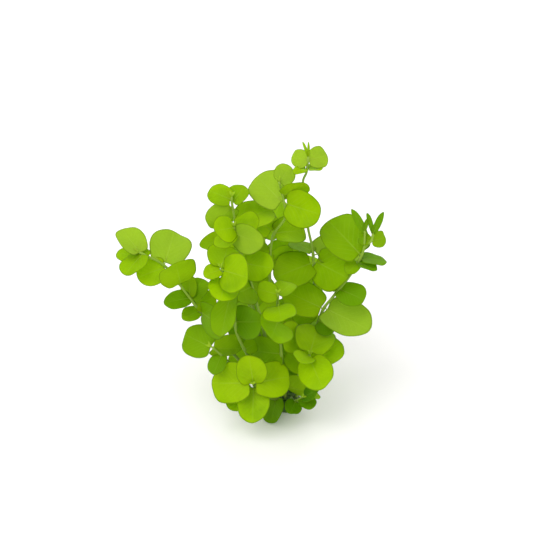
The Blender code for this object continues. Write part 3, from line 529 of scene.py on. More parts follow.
# The shapes that only the looks need, in millimetres unless they are shares of a leaf's width
RIM_STEPS = 44
RING_SHARES = (0.16, 0.34, 0.52, 0.68, 0.82, 0.93, 1.0)
BLADE_THICKNESS = 0.34
EDGE_THICKNESS = 0.16
EDGE_BULGE = 0.08
FOLD = 0.05
FOLD_WIDTH = 0.08
GROOVE_DEPTH = 0.12
GROOVE_WIDTH = 0.5
RIDGE_DEPTH = 0.22
RIDGE_WIDTH = 0.7
EDGE_WAVE = 0.026
SECOND_WAVE = 0.6
OUTLINE_SIZE = 1.05
BROAD_WAVE = 0.03
OUTLINE_WAVE = 0.011
POINT_LENGTH = 0.05
POINT_SPAN = 0.7
POINT_NARROWING = 1.5
LOBE_LENGTH = 0.11
LOBE_TURN = 0.55
LOBE_SPAN = 0.4
SHRINK_STEP = 0.01
BOX_MARGIN = 0.2
PETIOLE_RADIUS = 0.42
PETIOLE_RADIUS_SHARE = 0.06
PETIOLE_TAPER = (1.1, 0.45)
PETIOLE_SAG = 0.05
PETIOLE_SIDES = 8
PETIOLE_STEPS = 6
PETIOLE_END = 0.16
BUD_LENGTH = 3.4
BUD_HALF_WIDTH = 0.75
BUD_SPREAD = 0.42
BUD_STEPS = 10
BUD_SIDES = 10
STEM_SIDES = 12
STEM_SPACING = 0.8
STEM_SINK = 1.6
STEM_END = 0.6
NODE_SWELL = 0.22
NODE_LENGTH = 1.4
RIB_DEPTH = 0.06
RIB_COUNT = 4
FORK_AGE = 0.8
SWEEP_SIDE = (0.31, 0.95, 0.05)
CROWN_SEGMENTS = 72
CROWN_LUMPS = 0.10
CROWN_FLAT_SHARE = 0.975
STUB_STEPS = 9
STUB_FLARE = 0.15
STUB_WAVES = 9.0
STUB_WAVE = 0.12
ROOT_COUNT = 18
ROOT_STEPS = 16
ROOT_SIDES = 6
ROOT_RADII = (0.45, 0.25)
ROOT_START = 0.15
ROOT_REACH = 0.96
ROOT_LOWEST = 0.02

# How yellow the leaves are at the foot and at the tip of each stem, from 0, deep green, to 1: partly their
# own age, the young tips yellower, and partly painted shade, as the stems at the back, on the right and
# lowest in front are given deeper green where less light reaches them
YELLOW_AND_SHADE = {
    "left_long": (0.0, 0.85), "left_low": (0.1, 0.35), "left_front": (0.2, 1.0), "left_middle": (0.35, 1.0),
    "left_back": (0.3, 1.0), "centre": (0.3, 1.0), "top_right": (0.1, 1.0), "right": (0.1, 0.5),
    "right_fork": (0.25, 0.25), "front_centre": (0.2, 0.75), "front_right": (0.2, 1.0),
    "front_low": (0.1, 1.0), "front_base": (0.0, 0.1), "back_left": (0.2, 0.35),
    "back_centre": (0.2, 0.4), "back_right": (0.2, 0.4),
}

# Stems that end in young narrow leaves. The others end in an open pair with a small bud between them.
SLIM_TIPPED = ("top_right", "right")

# Leaves stepped lighter or deeper than their neighbours, partly for their own tone and partly as painted
# light on leaves that the lamps leave in shade and painted shade on leaves in the shade of others; and those
# with a painted sheen, a pale, milky green
LIGHTER_AND_PAINTED_LIGHT = (5, 6, 16, 19, 22, 23, 24, 31, 32, 33, 38, 42, 47, 71, 79, 80, 82, 88)
DEEPER_AND_PAINTED_SHADE = (7, 12, 20, 21, 30, 36, 50, 51, 59, 60, 61, 62, 65, 66, 69, 85, 86, 93, 116)
SHEEN_LEAVES = (1, 4, 24, 31, 37, 38, 46, 47, 54, 70)
TONE_SPREAD = 0.08
TONE_AND_LIGHT_STEP = 0.35
SHEEN_TONE = 2.0

# A tone is how yellow, how bright, how near the edge and how much like the underside a point is: that of
# a bud, and the last two values for a stalk. All of a stalk or bud takes the place of a leaf's base.
BUD_TONE = (1.0, 0.6, 0.0, 0.3)
STALK_TONE = (0.0, 0.7)
LEAF_BASE = (0.5, 0.0)

# Colours, as linear light
YOUNG_LEAF = (0.46, 0.67, 0.001, 1.0)
OLD_LEAF = (0.17, 0.37, 0.0, 1.0)
# Painted shade: the deepest green, for leaves that lie in the shade of others
PAINTED_SHADE_LEAF = (0.07, 0.23, 0.0, 1.0)
# Painted sheen: a pale, milky green for the whitish sheen of leaves that face the bright surroundings
PAINTED_SHEEN = (0.40, 0.50, 0.13, 1.0)
# Brighter green, partly the leaves' own tone and partly painted light
BRIGHT_AND_LIT_LEAF = (0.56, 0.77, 0.002, 1.0)
THROUGH_LEAF = (0.54, 0.82, 0.0, 1.0)
VEIN = (0.62, 0.76, 0.12, 1.0)
LEAF_EDGE = (0.15, 0.25, 0.004, 1.0)
UNDERSIDE = (0.42, 0.58, 0.012, 1.0)
STEM_GREEN = (0.25, 0.40, 0.035, 1.0)
STEM_OLD = (0.16, 0.24, 0.025, 1.0)
STEM_PALE = (0.37, 0.46, 0.10, 1.0)
CROWN_BROWN = (0.06, 0.09, 0.012, 1.0)
CROWN_GREEN = (0.05, 0.14, 0.008, 1.0)
CROWN_PALE = (0.12, 0.21, 0.03, 1.0)
FLOOR_PALE = (0.955, 0.935, 0.945, 1.0)
FLOOR_WARM = (0.945, 0.925, 0.93, 1.0)
WHITE = (1.0, 1.0, 1.0, 1.0)

# The sockets of a Mix node that hold its share and its two colours, and its colour result
MIX_INPUTS = (0, 6, 7)
MIX_RESULT = 2

# Veins, on a leaf 1 wide and 1 long: the width of the middle one, how the pairs arch, how many there are,
# their width as a share of their spacing, where they end, and how strongly they show
MIDRIB_EDGE = (0.024, 0.006)
VEIN_CURVE = 0.75
VEIN_SLOPE = 0.9
VEIN_WOBBLE = 0.05
VEIN_PAIRS = 6.5
VEIN_EDGE = (0.13, 0.03)
VEIN_END = (0.98, 0.55)
PAIR_SHARE = 0.45
VEIN_SHARE = 0.36
VEIN_LOSS = 0.3

# How much of each other colour a leaf takes, among them painted shade, painted light and painted sheen, and
# how much of its light comes through it
PAINTED_SHADE_TONE = -0.4
PATCH_SHARE = 0.4
BRIGHT_AND_LIT_SHARE = 0.25
SHEEN_SHARE = 0.28
EDGE_BAND = (0.93, 1.0)
EDGE_SHARE = 0.75
UNDER_SHARE = 0.3
SPECK_SHARE = 0.12
THROUGH_SHARE = 0.45
LIT_THROUGH = 0.5

# Gloss, as the shader's specular level
LEAF_SPECULAR = 0.08
STEM_SPECULAR = 0.2
PLAIN_SPECULAR = 0.5

# Picture and studio: the width that the photograph spans, in millimetres, and the rest in metres
PHOTO_WIDTH = 330.0
FARTHEST_SEEN = 20.0
FLOOR_SIZE = 24.0
LIT_PLACE = (0.0, 0.0, 0.08)
SKY_STRENGTH = 0.9

# Lights: where each stands, how wide it is, its power and its colour
LIGHTS = {
    "key": ((-0.9, -0.9, 1.7), 1.8, 20.0, (1.0, 0.99, 0.95)),
    "fill": ((1.4, -0.9, 1.0), 1.4, 3.5, (0.96, 0.98, 1.0)),
    "back": ((0.3, 1.5, 1.2), 1.2, 5.5, (1.0, 1.0, 0.98)),
}


def waves(turn, coarse, fine, phase, fine_phase):
    """Two waves round a leaf, the finer one a little weaker."""
    return np.sin(coarse * turn + phase) + SECOND_WAVE * np.sin(fine * turn + fine_phase)


def blade_height(leaf, x, y, ring, turn):
    """Height of the middle of the blade: the leaf's own sheet, with its fold and its wavy edge."""
    fold = leaf.width * FOLD * (np.sqrt((x / leaf.width) ** 2 + FOLD_WIDTH ** 2) - FOLD_WIDTH)
    phase = 2.4 * leaf.number
    wave = leaf.width * EDGE_WAVE * ring ** 3 * waves(turn, 3.0, 5.0, phase, -phase)
    return leaf.sheet(x, y) + fold + wave * np.sin(turn / 2.0) ** 0.5


def blade_edge(leaf, turns, size):
    """The blade's edge: the leaf's own rim, waved, with lobes at its base and often a small point."""
    folded = np.where(turns <= math.pi, turns, 2.0 * math.pi - turns)
    side = np.where(turns <= math.pi, 1.0, -1.0)
    edge_x, edge_y = leaf.rim(folded)
    number = leaf.number
    ripple = size + BROAD_WAVE * waves(turns, 2.0, 3.0, number, 2.3 * number)
    ripple += OUTLINE_WAVE * waves(turns, 5.0, 8.0, number, 1.7 * number)
    middle = leaf.petiole + leaf.length / 2.0
    pointed = POINT_LENGTH * (0.5 + 0.5 * math.sin(4.7 * number))
    from_tip = (folded - math.pi) / POINT_SPAN
    edge_x = side * edge_x * ripple * (1.0 - POINT_NARROWING * pointed * np.exp(-from_tip ** 2))
    edge_y = middle + (edge_y - middle) * ripple + leaf.length * pointed * np.exp(-(2.0 * from_tip) ** 2)
    edge_y -= leaf.length * LOBE_LENGTH * np.exp(-((folded - LOBE_TURN) / LOBE_SPAN) ** 2)
    return edge_x, edge_y


def fitting_size(leaf, turns):
    """The size of the blade's outline, a little smaller where a leaf would reach past the solids' box."""
    size = OUTLINE_SIZE
    while True:
        x, y = blade_edge(leaf, turns, size)
        height = blade_height(leaf, x, y, 1.0, turns)
        edge = (leaf.base + np.stack([x, y, height], axis=1) @ leaf.frame().T + SHIFT) * MM
        if (edge.min(axis=0) >= BOX_LOW).all() and (edge.max(axis=0) <= BOX_HIGH).all():
            return size
        size -= SHRINK_STEP


def blade(leaf):
    """One blade, closed all round, in the leaf's own axes: its points and faces, and for each point its
    place on the leaf, how much it is of the underside, and how near it is to the edge."""
    turns = np.linspace(0.0, 2.0 * math.pi, RIM_STEPS, endpoint=False)
    edge_x, edge_y = blade_edge(leaf, turns, fitting_size(leaf, turns))
    middle = leaf.petiole + leaf.length / 2.0
    ring = np.concatenate([[0.0], np.repeat(RING_SHARES, RIM_STEPS)])
    x = np.concatenate([[0.0], np.outer(RING_SHARES, edge_x).ravel()])
    y = np.concatenate([[middle], (middle + np.outer(RING_SHARES, edge_y - middle)).ravel()])
    turn = np.concatenate([[math.pi], np.tile(turns, len(RING_SHARES))])
    height = blade_height(leaf, x, y, ring, turn)
    half = (BLADE_THICKNESS + (EDGE_THICKNESS - BLADE_THICKNESS) * ring ** 4) / 2.0
    along = np.clip((y - leaf.petiole) / leaf.length, 0.0, 1.0)
    rib = 1.0 - along ** 1.5
    groove = GROOVE_DEPTH * rib * np.exp(-(x / GROOVE_WIDTH) ** 2)
    ridge = RIDGE_DEPTH * rib * np.exp(-(x / RIDGE_WIDTH) ** 2)
    upper = np.stack([x, y, height + half - groove], axis=1)
    lower = np.stack([x, y, height - half - ridge], axis=1)
    count = len(upper)
    last = slice(count - RIM_STEPS, count)
    bulge = 1.0 + EDGE_BULGE / np.hypot(x[last], y[last] - middle)
    edge = np.stack([x[last] * bulge, middle + (y[last] - middle) * bulge, height[last]], axis=1)
    points = np.concatenate([upper, lower, edge])

    faces = []
    for step in range(RIM_STEPS):
        after = (step + 1) % RIM_STEPS
        faces.append((0, 1 + after, 1 + step))
        faces.append((count, count + 1 + step, count + 1 + after))
        for inner in range(1, count - RIM_STEPS, RIM_STEPS):
            outer = inner + RIM_STEPS
            faces.append((inner + step, inner + after, outer + after, outer + step))
            beneath = (inner + step, outer + step, outer + after, inner + after)
            faces.append(tuple(count + corner for corner in beneath))
        rim = count - RIM_STEPS
        faces.append((rim + step, rim + after, 2 * count + after, 2 * count + step))
        faces.append((2 * count + step, 2 * count + after, count + rim + after, count + rim + step))
    place = np.stack([x / leaf.width + 0.5, along], axis=1)
    places = np.concatenate([place, place, place[last]])
    under = np.concatenate([np.zeros(count), np.ones(count), np.full(RIM_STEPS, 0.5)])
    rings = np.concatenate([ring, ring, np.ones(RIM_STEPS)])
    return points, faces, places, under, rings


def sweep(line, radii, sides):
    """A round tube along a line of points, closed at both ends: its points and faces."""
    line = np.asarray(line)
    ahead = np.gradient(line, axis=0)
    ahead /= np.linalg.norm(ahead, axis=1)[:, None]
    across = np.cross(ahead[0], SWEEP_SIDE)
    rings = []
    angles = np.linspace(0.0, 2.0 * math.pi, sides, endpoint=False)
    for place, direction, radius in zip(line, ahead, radii):
        across = across - direction * np.dot(across, direction)
        across = across / np.linalg.norm(across)
        up = np.cross(direction, across)
        radius = np.broadcast_to(radius, (sides,))
        circle = np.outer(np.cos(angles), across) + np.outer(np.sin(angles), up)
        rings.append(place + circle * radius[:, None])
    points = np.concatenate(rings + [line[:1], line[-1:]])
    faces = []
    start = len(line) * sides
    for low in range(0, start - sides, sides):
        for step in range(sides):
            after = (step + 1) % sides
            faces.append((low + step, low + after, low + sides + after, low + sides + step))
    for step in range(sides):
        after = (step + 1) % sides
        faces.append((start, after, step))
        faces.append((start + 1, start - sides + step, start - sides + after))
    return points, faces


def bend(start, middle, end, count):
    """Points along a curve that starts out towards the middle point and ends coming from it."""
    t = np.linspace(0.0, 1.0, count)[:, None]
    return (1.0 - t) ** 2 * start + 2.0 * t * (1.0 - t) * middle + t ** 2 * end


def petiole(leaf):
    """The leaf's stalk, from the middle of the stem into the base of the blade, in the leaf's own axes."""
    joint = leaf.frame().T @ (leaf.joint - leaf.base)
    middle = np.array([0.0, leaf.petiole * 0.5, -PETIOLE_SAG])
    end_y = leaf.petiole + leaf.length * PETIOLE_END
    end = np.array([0.0, end_y, float(leaf.sheet(0.0, end_y)) - BLADE_THICKNESS / 2.0])
    radius = min(PETIOLE_RADIUS, leaf.width * PETIOLE_RADIUS_SHARE)
    radii = radius * np.linspace(*PETIOLE_TAPER, PETIOLE_STEPS + 1)
    return sweep(bend(joint, middle, end, PETIOLE_STEPS + 1), radii, PETIOLE_SIDES)


def tip_bud(name):
    """The growing tip of a stem: two tiny leaves, still folded up, that lean apart. In world axes."""
    end = stems[name][-1]
    before = stem_point(stems[name], len(stems[name]) - 1.0 - PLACE_STEP)
    ahead = unit(end - before)
    across = unit(np.cross(ahead, TO_VIEWER))
    t = np.linspace(0.0, 1.0, BUD_STEPS)
    radii = BUD_HALF_WIDTH * np.sin(math.pi * (0.12 + 0.86 * t)) ** 0.8
    leaflets = []
    for side in (-1.0, 1.0):
        lean = BUD_SPREAD * side * (t + t ** 2) / 2.0
        line = end + BUD_LENGTH * (np.outer(t, ahead) + np.outer(lean, across))
        leaflets.append(sweep(line, radii, BUD_SIDES))
    return leaflets


def tone_of(leaf):
    """How yellow a leaf is, below 0 when it takes the deepest green as painted shade, and how bright, above
    1 when it has a painted sheen; the listed leaves are stepped lighter or deeper, partly for their own tone
    and partly as painted light and painted shade.
    """
    foot, tip = YELLOW_AND_SHADE[leaf.stem]
    yellow_light_and_shade = foot + (tip - foot) * leaf.share + TONE_SPREAD * math.sin(5.3 * leaf.number + 0.7)
    bright_and_lit = 0.5 + 0.5 * math.sin(3.1 * leaf.number + 2.0)
    # Painted light and painted shade: the listed leaves are stepped lighter or deeper, partly for their own
    # tone
    step = TONE_AND_LIGHT_STEP * ((leaf.number in LIGHTER_AND_PAINTED_LIGHT) - (leaf.number in DEEPER_AND_PAINTED_SHADE))
    bright_and_lit = SHEEN_TONE if leaf.number in SHEEN_LEAVES else min(1.0, max(0.0, bright_and_lit + 2.0 * step))
    return min(1.0, max(-1.0, yellow_light_and_shade + step)), bright_and_lit


def placed(name, data):
    """A new object in the scene."""
    made = bpy.data.objects.new(name, data)
    bpy.context.scene.collection.objects.link(made)
    return made


def new_piece(name, shapes, material):
    """One smooth piece of several shapes: each has its points in millimetres and its faces, and its tones
    and places on the leaf where the material reads them."""
    points, face_lists, *colouring = zip(*shapes)
    faces = []
    start = 0
    for some_points, some_faces in zip(points, face_lists):
        faces += [tuple(start + corner for corner in face) for face in some_faces]
        start += len(some_points)
    data = bpy.data.meshes.new(name)
    data.from_pydata(((np.concatenate(points) + SHIFT) * MM).tolist(), [], faces)
    if colouring:
        tone = data.attributes.new("tone", "FLOAT_COLOR", "POINT")
        tone.data.foreach_set("color", np.concatenate(colouring[0]).ravel())
    if len(colouring) > 1:
        layer = data.uv_layers.new(name="leaf")
        corners = np.zeros(len(data.loops), dtype=int)
        data.loops.foreach_get("vertex_index", corners)
        layer.data.foreach_set("uv", np.concatenate(colouring[1])[corners].ravel())
    data.validate()
    data.shade_smooth()
    data.materials.append(material)
    return placed(name, data)


def plain_shape(points, faces, tone):
    """A shape with one tone and no veins."""
    return points, faces, np.tile(tone, (len(points), 1)), np.tile(LEAF_BASE, (len(points), 1))


def leaf_piece(name, leaves, material, buds=()):
    """One piece of some leaves with their stalks, and buds."""
    shapes = []
    for leaf in leaves:
        tone = tone_of(leaf)
        turn = leaf.frame().T
        points, faces, places, under, rings = blade(leaf)
        tones = np.column_stack([np.tile(tone, (len(under), 1)), rings, under])
        shapes.append((leaf.base + points @ turn, faces, tones, places))
        points, faces = petiole(leaf)
        shapes.append(plain_shape(leaf.base + points @ turn, faces, tone + STALK_TONE))
    shapes += [plain_shape(points, faces, BUD_TONE) for points, faces in buds]
    return new_piece(name, shapes, material)


def stem_line(name):
    """The fine line of a stem, sunk into its stub, with its radius along the way."""
    run, shares = stem_run(stems[name], STEM_SPACING)
    if name in FORKS:
        radii = np.full(len(run), STEM_TIP_RADIUS)
    else:
        sunk = run[0] - unit(run[1] - run[0]) * STEM_SINK
        run = np.concatenate([[sunk], run])
        radii = stem_radius(np.concatenate([[0.0], shares]))
    joints = np.array([leaf.joint for leaf in leaves if leaf.stem == name])
    if len(joints):
        gap = np.linalg.norm(run[:, None] - joints[None], axis=2).min(axis=1)
        radii = radii * (1.0 + NODE_SWELL * np.exp(-(gap / NODE_LENGTH) ** 2))
    radii[-1] *= STEM_END
    return run, radii


def stem_piece(name, material):
    """A stem with its forks, softly ribbed and swollen where its leaves grow."""
    angles = np.linspace(0.0, 2.0 * math.pi, STEM_SIDES, endpoint=False)
    ribs = 1.0 + RIB_DEPTH * np.cos(RIB_COUNT * angles)
    shapes = []
    for part in [name] + [fork for fork, parent in FORKS.items() if parent == name]:
        run, radii = stem_line(part)
        first = 0.0 if part == name else FORK_AGE
        ages = np.repeat(np.linspace(first, 1.0, len(run)), STEM_SIDES)
        ages = np.concatenate([ages, [first, 1.0]])
        tones = np.stack([ages, ages, ages, np.ones(len(ages))], axis=1)
        shapes.append((*sweep(run, np.outer(radii, ribs), STEM_SIDES), tones))
    return new_piece("shoot_" + name, shapes, material)


def mound():
    """The low mound of the crown, cut off flat and lumpy with old stem bases: its points and faces."""
    mesh = bmesh.new()
    bmesh.ops.create_uvsphere(mesh, u_segments=CROWN_SEGMENTS, v_segments=CROWN_SEGMENTS // 2, radius=1.0)
    below = [vert for vert in mesh.verts if vert.co.z < -0.01]
    bmesh.ops.delete(mesh, geom=below, context="VERTS")
    rim = [edge for edge in mesh.edges if edge.is_boundary]
    bmesh.ops.contextual_create(mesh, geom=rim)
    for vert in mesh.verts:
        angle = math.atan2(vert.co.y, vert.co.x)
        lump = 0.5 + 0.5 * math.sin(9.0 * angle + 5.0 * vert.co.z) * math.cos(7.0 * vert.co.z + 2.0 * angle)
        size = 1.0 - CROWN_LUMPS * lump
        vert.co.x = vert.co.x * CROWN_RADII[0] * size * CROWN_FLAT_SHARE + CROWN_CENTRE[0]
        vert.co.y = vert.co.y * CROWN_RADII[1] * size + CROWN_CENTRE[1]
        vert.co.z = max(0.0, vert.co.z * CROWN_HEIGHT * size)
    bmesh.ops.recalc_face_normals(mesh, faces=mesh.faces[:])
    points = np.array([vert.co[:] for vert in mesh.verts])
    mesh.verts.index_update()
    faces = [tuple(vert.index for vert in face.verts) for face in mesh.faces]
    mesh.free()
    return points, faces


def stub(name):
    """The swollen stub below a stem, from inside the mound: its points and faces."""
    run, _ = stem_run(stems[name], STEM_STEP)
    swell = 1.0 + STUB_WAVE * np.cos(np.linspace(0.0, STUB_WAVES, STUB_STEPS))
    swell = swell + np.linspace(STUB_FLARE, 0.0, STUB_STEPS)
    return sweep(bend(*stub_places(run), STUB_STEPS), STEM_FOOT_RADIUS * swell, STEM_SIDES)


def root(number):
    """A fine root that creeps down over the mound: its points and faces."""
    angle = 2.0 * math.pi * number / ROOT_COUNT + 0.3 * math.sin(3.0 * number)
    t = np.linspace(ROOT_START, 1.0, ROOT_STEPS)
    way = angle + 0.5 * np.sin(2.0 * t + number) * t
    rise = np.sqrt(np.maximum(0.0, 1.0 - (t * 0.97) ** 2))
    line = np.stack([CROWN_CENTRE[0] + CROWN_RADII[0] * CROWN_FLAT_SHARE * t * ROOT_REACH * np.cos(way),
                     CROWN_CENTRE[1] + CROWN_RADII[1] * t * ROOT_REACH * np.sin(way),
                     CROWN_HEIGHT * rise * 0.94 + 0.1], axis=1)
    points, faces = sweep(line, np.linspace(*ROOT_RADII, ROOT_STEPS), ROOT_SIDES)
    points[:, 2] = np.maximum(points[:, 2], ROOT_LOWEST)
    return points, faces


def crown_piece(material):
    """The mound, with a stub for each stem and a few fine roots over it."""
    shapes = [mound()] + [stub(name) for name in FEET] + [root(number) for number in range(ROOT_COUNT)]
    return new_piece("crown_knot", shapes, material)


class Nodes:
    """The node tree of a new material, and short ways to add to it."""

    def __init__(self, name):
        self.material = bpy.data.materials.new(name)
        self.material.use_nodes = True
        self.tree = self.material.node_tree
        self.tree.nodes.clear()
        self.body = self.add("ShaderNodeTexCoord").outputs["Object"]

    def add(self, kind, inputs=None, **settings):
        """A new node. An input is a number, a colour, another node's result, or None to leave it."""
        made = self.tree.nodes.new(kind)
        for key, value in settings.items():
            setattr(made, key, value)
        for key, value in (inputs or {}).items():
            if isinstance(value, (int, float, tuple)):
                made.inputs[key].default_value = value
            elif value is not None:
                self.tree.links.new(value, made.inputs[key])
        return made

    def math(self, operation, *values, clamp=False):
        made = self.add("ShaderNodeMath", dict(enumerate(values)), operation=operation, use_clamp=clamp)
        return made.outputs[0]

    def plus(self, first, second):
        return self.math("ADD", first, second)

    def minus(self, first, second):
        return self.math("SUBTRACT", first, second)

    def times(self, first, second):
        return self.math("MULTIPLY", first, second)

    def mixed(self, share, first, second):
        """Two colours mixed by a share."""
        made = self.add("ShaderNodeMix", dict(zip(MIX_INPUTS, (share, first, second))), data_type="RGBA")
        return made.outputs[MIX_RESULT]

    def ramp(self, value, low, high):
        """A value stretched so that low gives 0 and high gives 1, smoothly, and held between them."""
        inputs = {"Value": value, "From Min": low, "From Max": high}
        return self.add("ShaderNodeMapRange", inputs, interpolation_type="SMOOTHSTEP").outputs["Result"]

    def noise(self, scale, detail=3.0, roughness=0.5):
        inputs = {"Scale": scale, "Detail": detail, "Roughness": roughness, "Vector": self.body}
        return self.add("ShaderNodeTexNoise", inputs).outputs["Fac"]

    def tone(self):
        """The four values that a mesh stores at each of its points."""
        tone = self.add("ShaderNodeAttribute", attribute_name="tone")
        parts = self.add("ShaderNodeSeparateColor", {"Color": tone.outputs["Color"]})
        return (*parts.outputs, tone.outputs["Alpha"])

    def bump(self, height, strength, distance):
        inputs = {"Height": height, "Strength": strength, "Distance": distance}
        return self.add("ShaderNodeBump", inputs).outputs["Normal"]

    def shader(self, colour, roughness, specular, normal):
        inputs = {"Base Color": colour, "Roughness": roughness, "Normal": normal}
        inputs["Specular IOR Level"] = specular
        return self.add("ShaderNodeBsdfPrincipled", inputs).outputs["BSDF"]

    def finished(self, surface):
        """The material, with its surface."""
        self.add("ShaderNodeOutputMaterial", {"Surface": surface})
        return self.material


def leaf_material():
    """Thin fresh leaf: yellow-green and lit through, with pale veins, a darker edge and a dull underside,
    and painted light, painted shade and painted sheen on listed leaves.
    """
    nodes = Nodes("creeping jenny leaf")
    young, bright_and_lit, ring, under = nodes.tone()
    place = nodes.add("ShaderNodeUVMap", uv_map="leaf").outputs["UV"]
    across, along, _ = nodes.add("ShaderNodeSeparateXYZ", {"Vector": place}).outputs

    # Veins: one along the middle, and pairs that arch from it towards the edge
    aside = nodes.math("ABSOLUTE", nodes.minus(across, 0.5))
    midrib = nodes.ramp(aside, *MIDRIB_EDGE)
    arch = nodes.times(nodes.math("POWER", aside, VEIN_CURVE), VEIN_SLOPE)
    climb = nodes.plus(nodes.minus(along, arch), nodes.times(nodes.noise(160.0), VEIN_WOBBLE))
    beat = nodes.math("PINGPONG", nodes.times(climb, VEIN_PAIRS), 0.5)
    pairs = nodes.times(nodes.ramp(beat, *VEIN_EDGE), nodes.ramp(ring, *VEIN_END))
    veins = nodes.math("MAXIMUM", midrib, nodes.times(pairs, PAIR_SHARE))

    patches = nodes.ramp(nodes.noise(90.0, 2.0), 0.35, 0.7)
    specks = nodes.noise(900.0, 2.0, 0.6)
    colour = nodes.mixed(young, OLD_LEAF, YOUNG_LEAF)
    # Painted shade: a tone below 0 takes the deepest green, for leaves in the shade of others
    colour = nodes.mixed(nodes.ramp(young, 0.0, PAINTED_SHADE_TONE), colour, PAINTED_SHADE_LEAF)
    colour = nodes.mixed(patches, colour, nodes.mixed(PATCH_SHARE, colour, OLD_LEAF))
    # Brighter: partly a leaf's own tone, partly painted light on listed leaves that the lamps leave in shade
    colour = nodes.mixed(nodes.times(bright_and_lit, BRIGHT_AND_LIT_SHARE), colour, BRIGHT_AND_LIT_LEAF)
    # Painted sheen: a pale, milky green on the listed leaves
    colour = nodes.mixed(nodes.times(nodes.ramp(bright_and_lit, 1.0, SHEEN_TONE), SHEEN_SHARE), colour, PAINTED_SHEEN)
    vein_share = nodes.minus(VEIN_SHARE, nodes.times(along, VEIN_LOSS))
    colour = nodes.mixed(nodes.times(veins, vein_share), colour, VEIN)
    colour = nodes.mixed(nodes.times(nodes.ramp(ring, *EDGE_BAND), EDGE_SHARE), colour, LEAF_EDGE)
    colour = nodes.mixed(under, colour, nodes.mixed(UNDER_SHARE, colour, UNDERSIDE))
    colour = nodes.mixed(nodes.times(nodes.ramp(specks, 0.35, 0.75), SPECK_SHARE), colour, OLD_LEAF)

    roughness = nodes.plus(nodes.times(specks, 0.16), 0.36)
    roughness = nodes.plus(roughness, nodes.times(under, 0.22))
    normal = nodes.bump(nodes.minus(nodes.times(specks, 0.25), veins), 0.25, 0.00025)
    face = nodes.shader(colour, roughness, LEAF_SPECULAR, normal)
    light = nodes.mixed(THROUGH_SHARE, colour, THROUGH_LEAF)
    through = nodes.add("ShaderNodeBsdfTranslucent", {"Color": light, "Normal": normal}).outputs["BSDF"]
    both = nodes.add("ShaderNodeMixShader", {"Fac": LIT_THROUGH, 1: face, 2: through})
    return nodes.finished(both.outputs["Shader"])


def stem_material():
    """Juicy pale green stem, duller and darker towards its foot."""
    nodes = Nodes("creeping jenny stem")
    streaks = nodes.noise(420.0, 3.0)
    old = nodes.ramp(nodes.tone()[0], 0.75, 0.05)
    old = nodes.math("MULTIPLY", old, nodes.plus(streaks, 0.25), clamp=True)
    flecks = nodes.times(nodes.ramp(nodes.noise(1500.0), 0.4, 0.8), 0.2)
    colour = nodes.mixed(flecks, nodes.mixed(old, STEM_GREEN, STEM_OLD), STEM_PALE)
    normal = nodes.bump(streaks, 0.3, 0.0002)
    roughness = nodes.plus(nodes.times(streaks, 0.2), 0.4)
    return nodes.finished(nodes.shader(colour, roughness, STEM_SPECULAR, normal))


def crown_material():
    """Dull brown-green knot of old stem bases."""
    nodes = Nodes("old stem base")
    coarse = nodes.noise(260.0, 5.0, 0.6)
    fine = nodes.noise(1400.0, 4.0, 0.6)
    colour = nodes.mixed(nodes.ramp(coarse, 0.35, 0.65), CROWN_BROWN, CROWN_GREEN)
    colour = nodes.mixed(nodes.times(nodes.ramp(fine, 0.45, 0.8), 0.5), colour, CROWN_PALE)
    normal = nodes.bump(nodes.plus(coarse, fine), 0.6, 0.0005)
    roughness = nodes.plus(nodes.times(fine, 0.25), 0.6)
    return nodes.finished(nodes.shader(colour, roughness, PLAIN_SPECULAR, normal))


def floor_material():
    nodes = Nodes("pale floor")
    colour = nodes.mixed(nodes.noise(3.0, 2.0), FLOOR_PALE, FLOOR_WARM)
    return nodes.finished(nodes.shader(colour, 0.6, PLAIN_SPECULAR, None))


def floor_piece():
    half = FLOOR_SIZE / 2.0
    corners = [(-half, -half, 0.0), (half, -half, 0.0), (half, half, 0.0), (-half, half, 0.0)]
    data = bpy.data.meshes.new("floor")
    data.from_pydata(corners, [], [(0, 1, 2, 3)])
    data.materials.append(floor_material())
    return placed("floor", data)


def area_light(name, place, size, power, colour):
    """A round soft light that shines at the middle of the plant."""
    data = bpy.data.lights.new(name, "AREA")
    data.shape = "DISK"
    data.size = size
    data.energy = power
    data.color = colour
    light = placed(name, data)
    light.location = place
    light.rotation_euler = (Vector(LIT_PLACE) - Vector(place)).to_track_quat("-Z", "Y").to_euler()


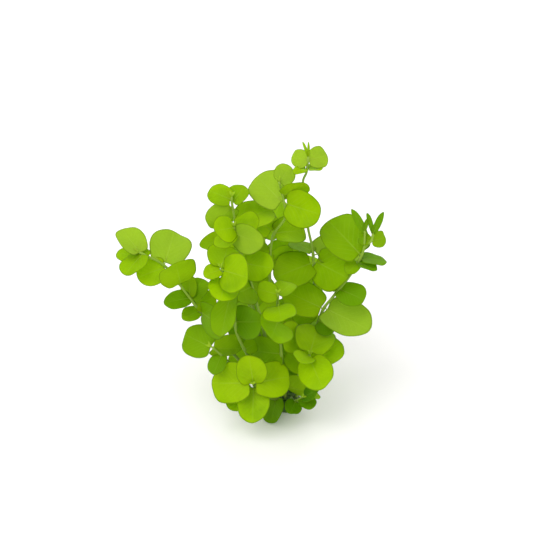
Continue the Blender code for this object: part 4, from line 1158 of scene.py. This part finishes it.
def photo_camera():
    """A camera that looks along the view that the layout is written in."""
    data = bpy.data.cameras.new("photo_camera")
    data.lens = data.sensor_width * VIEW_DISTANCE / PHOTO_WIDTH
    data.clip_end = FARTHEST_SEEN
    camera = placed("photo_camera", data)
    turn = Matrix(((1.0, 0.0, 0.0), tuple(VIEW_UP), tuple(TO_VIEWER))).transposed().to_4x4()
    camera.matrix_world = Matrix.Translation(Vector((EYE + SHIFT) * MM)) @ turn
    bpy.context.scene.camera = camera


crown_low, crown_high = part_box("crown")
SHIFT = np.array([(crown_low[0] + crown_high[0]) / 2.0 / MM - CROWN_CENTRE[0],
                  (crown_low[1] + crown_high[1]) / 2.0 / MM - CROWN_CENTRE[1], 0.0])
BOX_LOW = np.array(cad_box[0]) + BOX_MARGIN * MM
BOX_HIGH = np.array(cad_box[1]) - BOX_MARGIN * MM

stems = {name: stem_places(name) for name in STEMS}
runs = {name: stem_run(points, DOT_SPACING)[0] for name, points in stems.items()}
for name in FEET:
    runs[name] = np.concatenate([np.linspace(*stub_places(runs[name])[:2], STUB_DOTS), runs[name]])
leaves = []
for stem, rows in LEAVES:
    for row in rows:
        leaves.append(Leaf(len(leaves) + 1, stem, stems[stem], *row))
spread(leaves, runs)

leaf_look = leaf_material()
stem_look = stem_material()
knot = crown_piece(crown_material())
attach(knot, "root")
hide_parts("crown")
for name in FEET:
    shoot = stem_piece(name, stem_look)
    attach(shoot, "root")
    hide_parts("stem_" + name)
    grown = [leaf for leaf in leaves if FORKS.get(leaf.stem, leaf.stem) == name]
    small = [leaf for leaf in grown if not leaf.own]
    buds = () if name in SLIM_TIPPED else tip_bud(name)
    if small or buds:
        foliage = leaf_piece("foliage_" + name, small, leaf_look, buds)
        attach(foliage, "root")
        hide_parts("stem_" + name)
    for leaf in grown:
        if leaf.own:
            piece = leaf_piece(f"blade_{name}_{leaf.number}", [leaf], leaf_look)
            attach(piece, "root")
            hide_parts(f"leaf_{name}_{leaf.number}")

floor = floor_piece()
photo_camera()
for name, light in LIGHTS.items():
    area_light(name, *light)
bpy.context.scene.view_settings.view_transform = "Standard"
world = bpy.data.worlds.new("studio")
bpy.context.scene.world = world
world.use_nodes = True
sky = world.node_tree.nodes["Background"]
sky.inputs["Color"].default_value = WHITE
sky.inputs["Strength"].default_value = SKY_STRENGTH
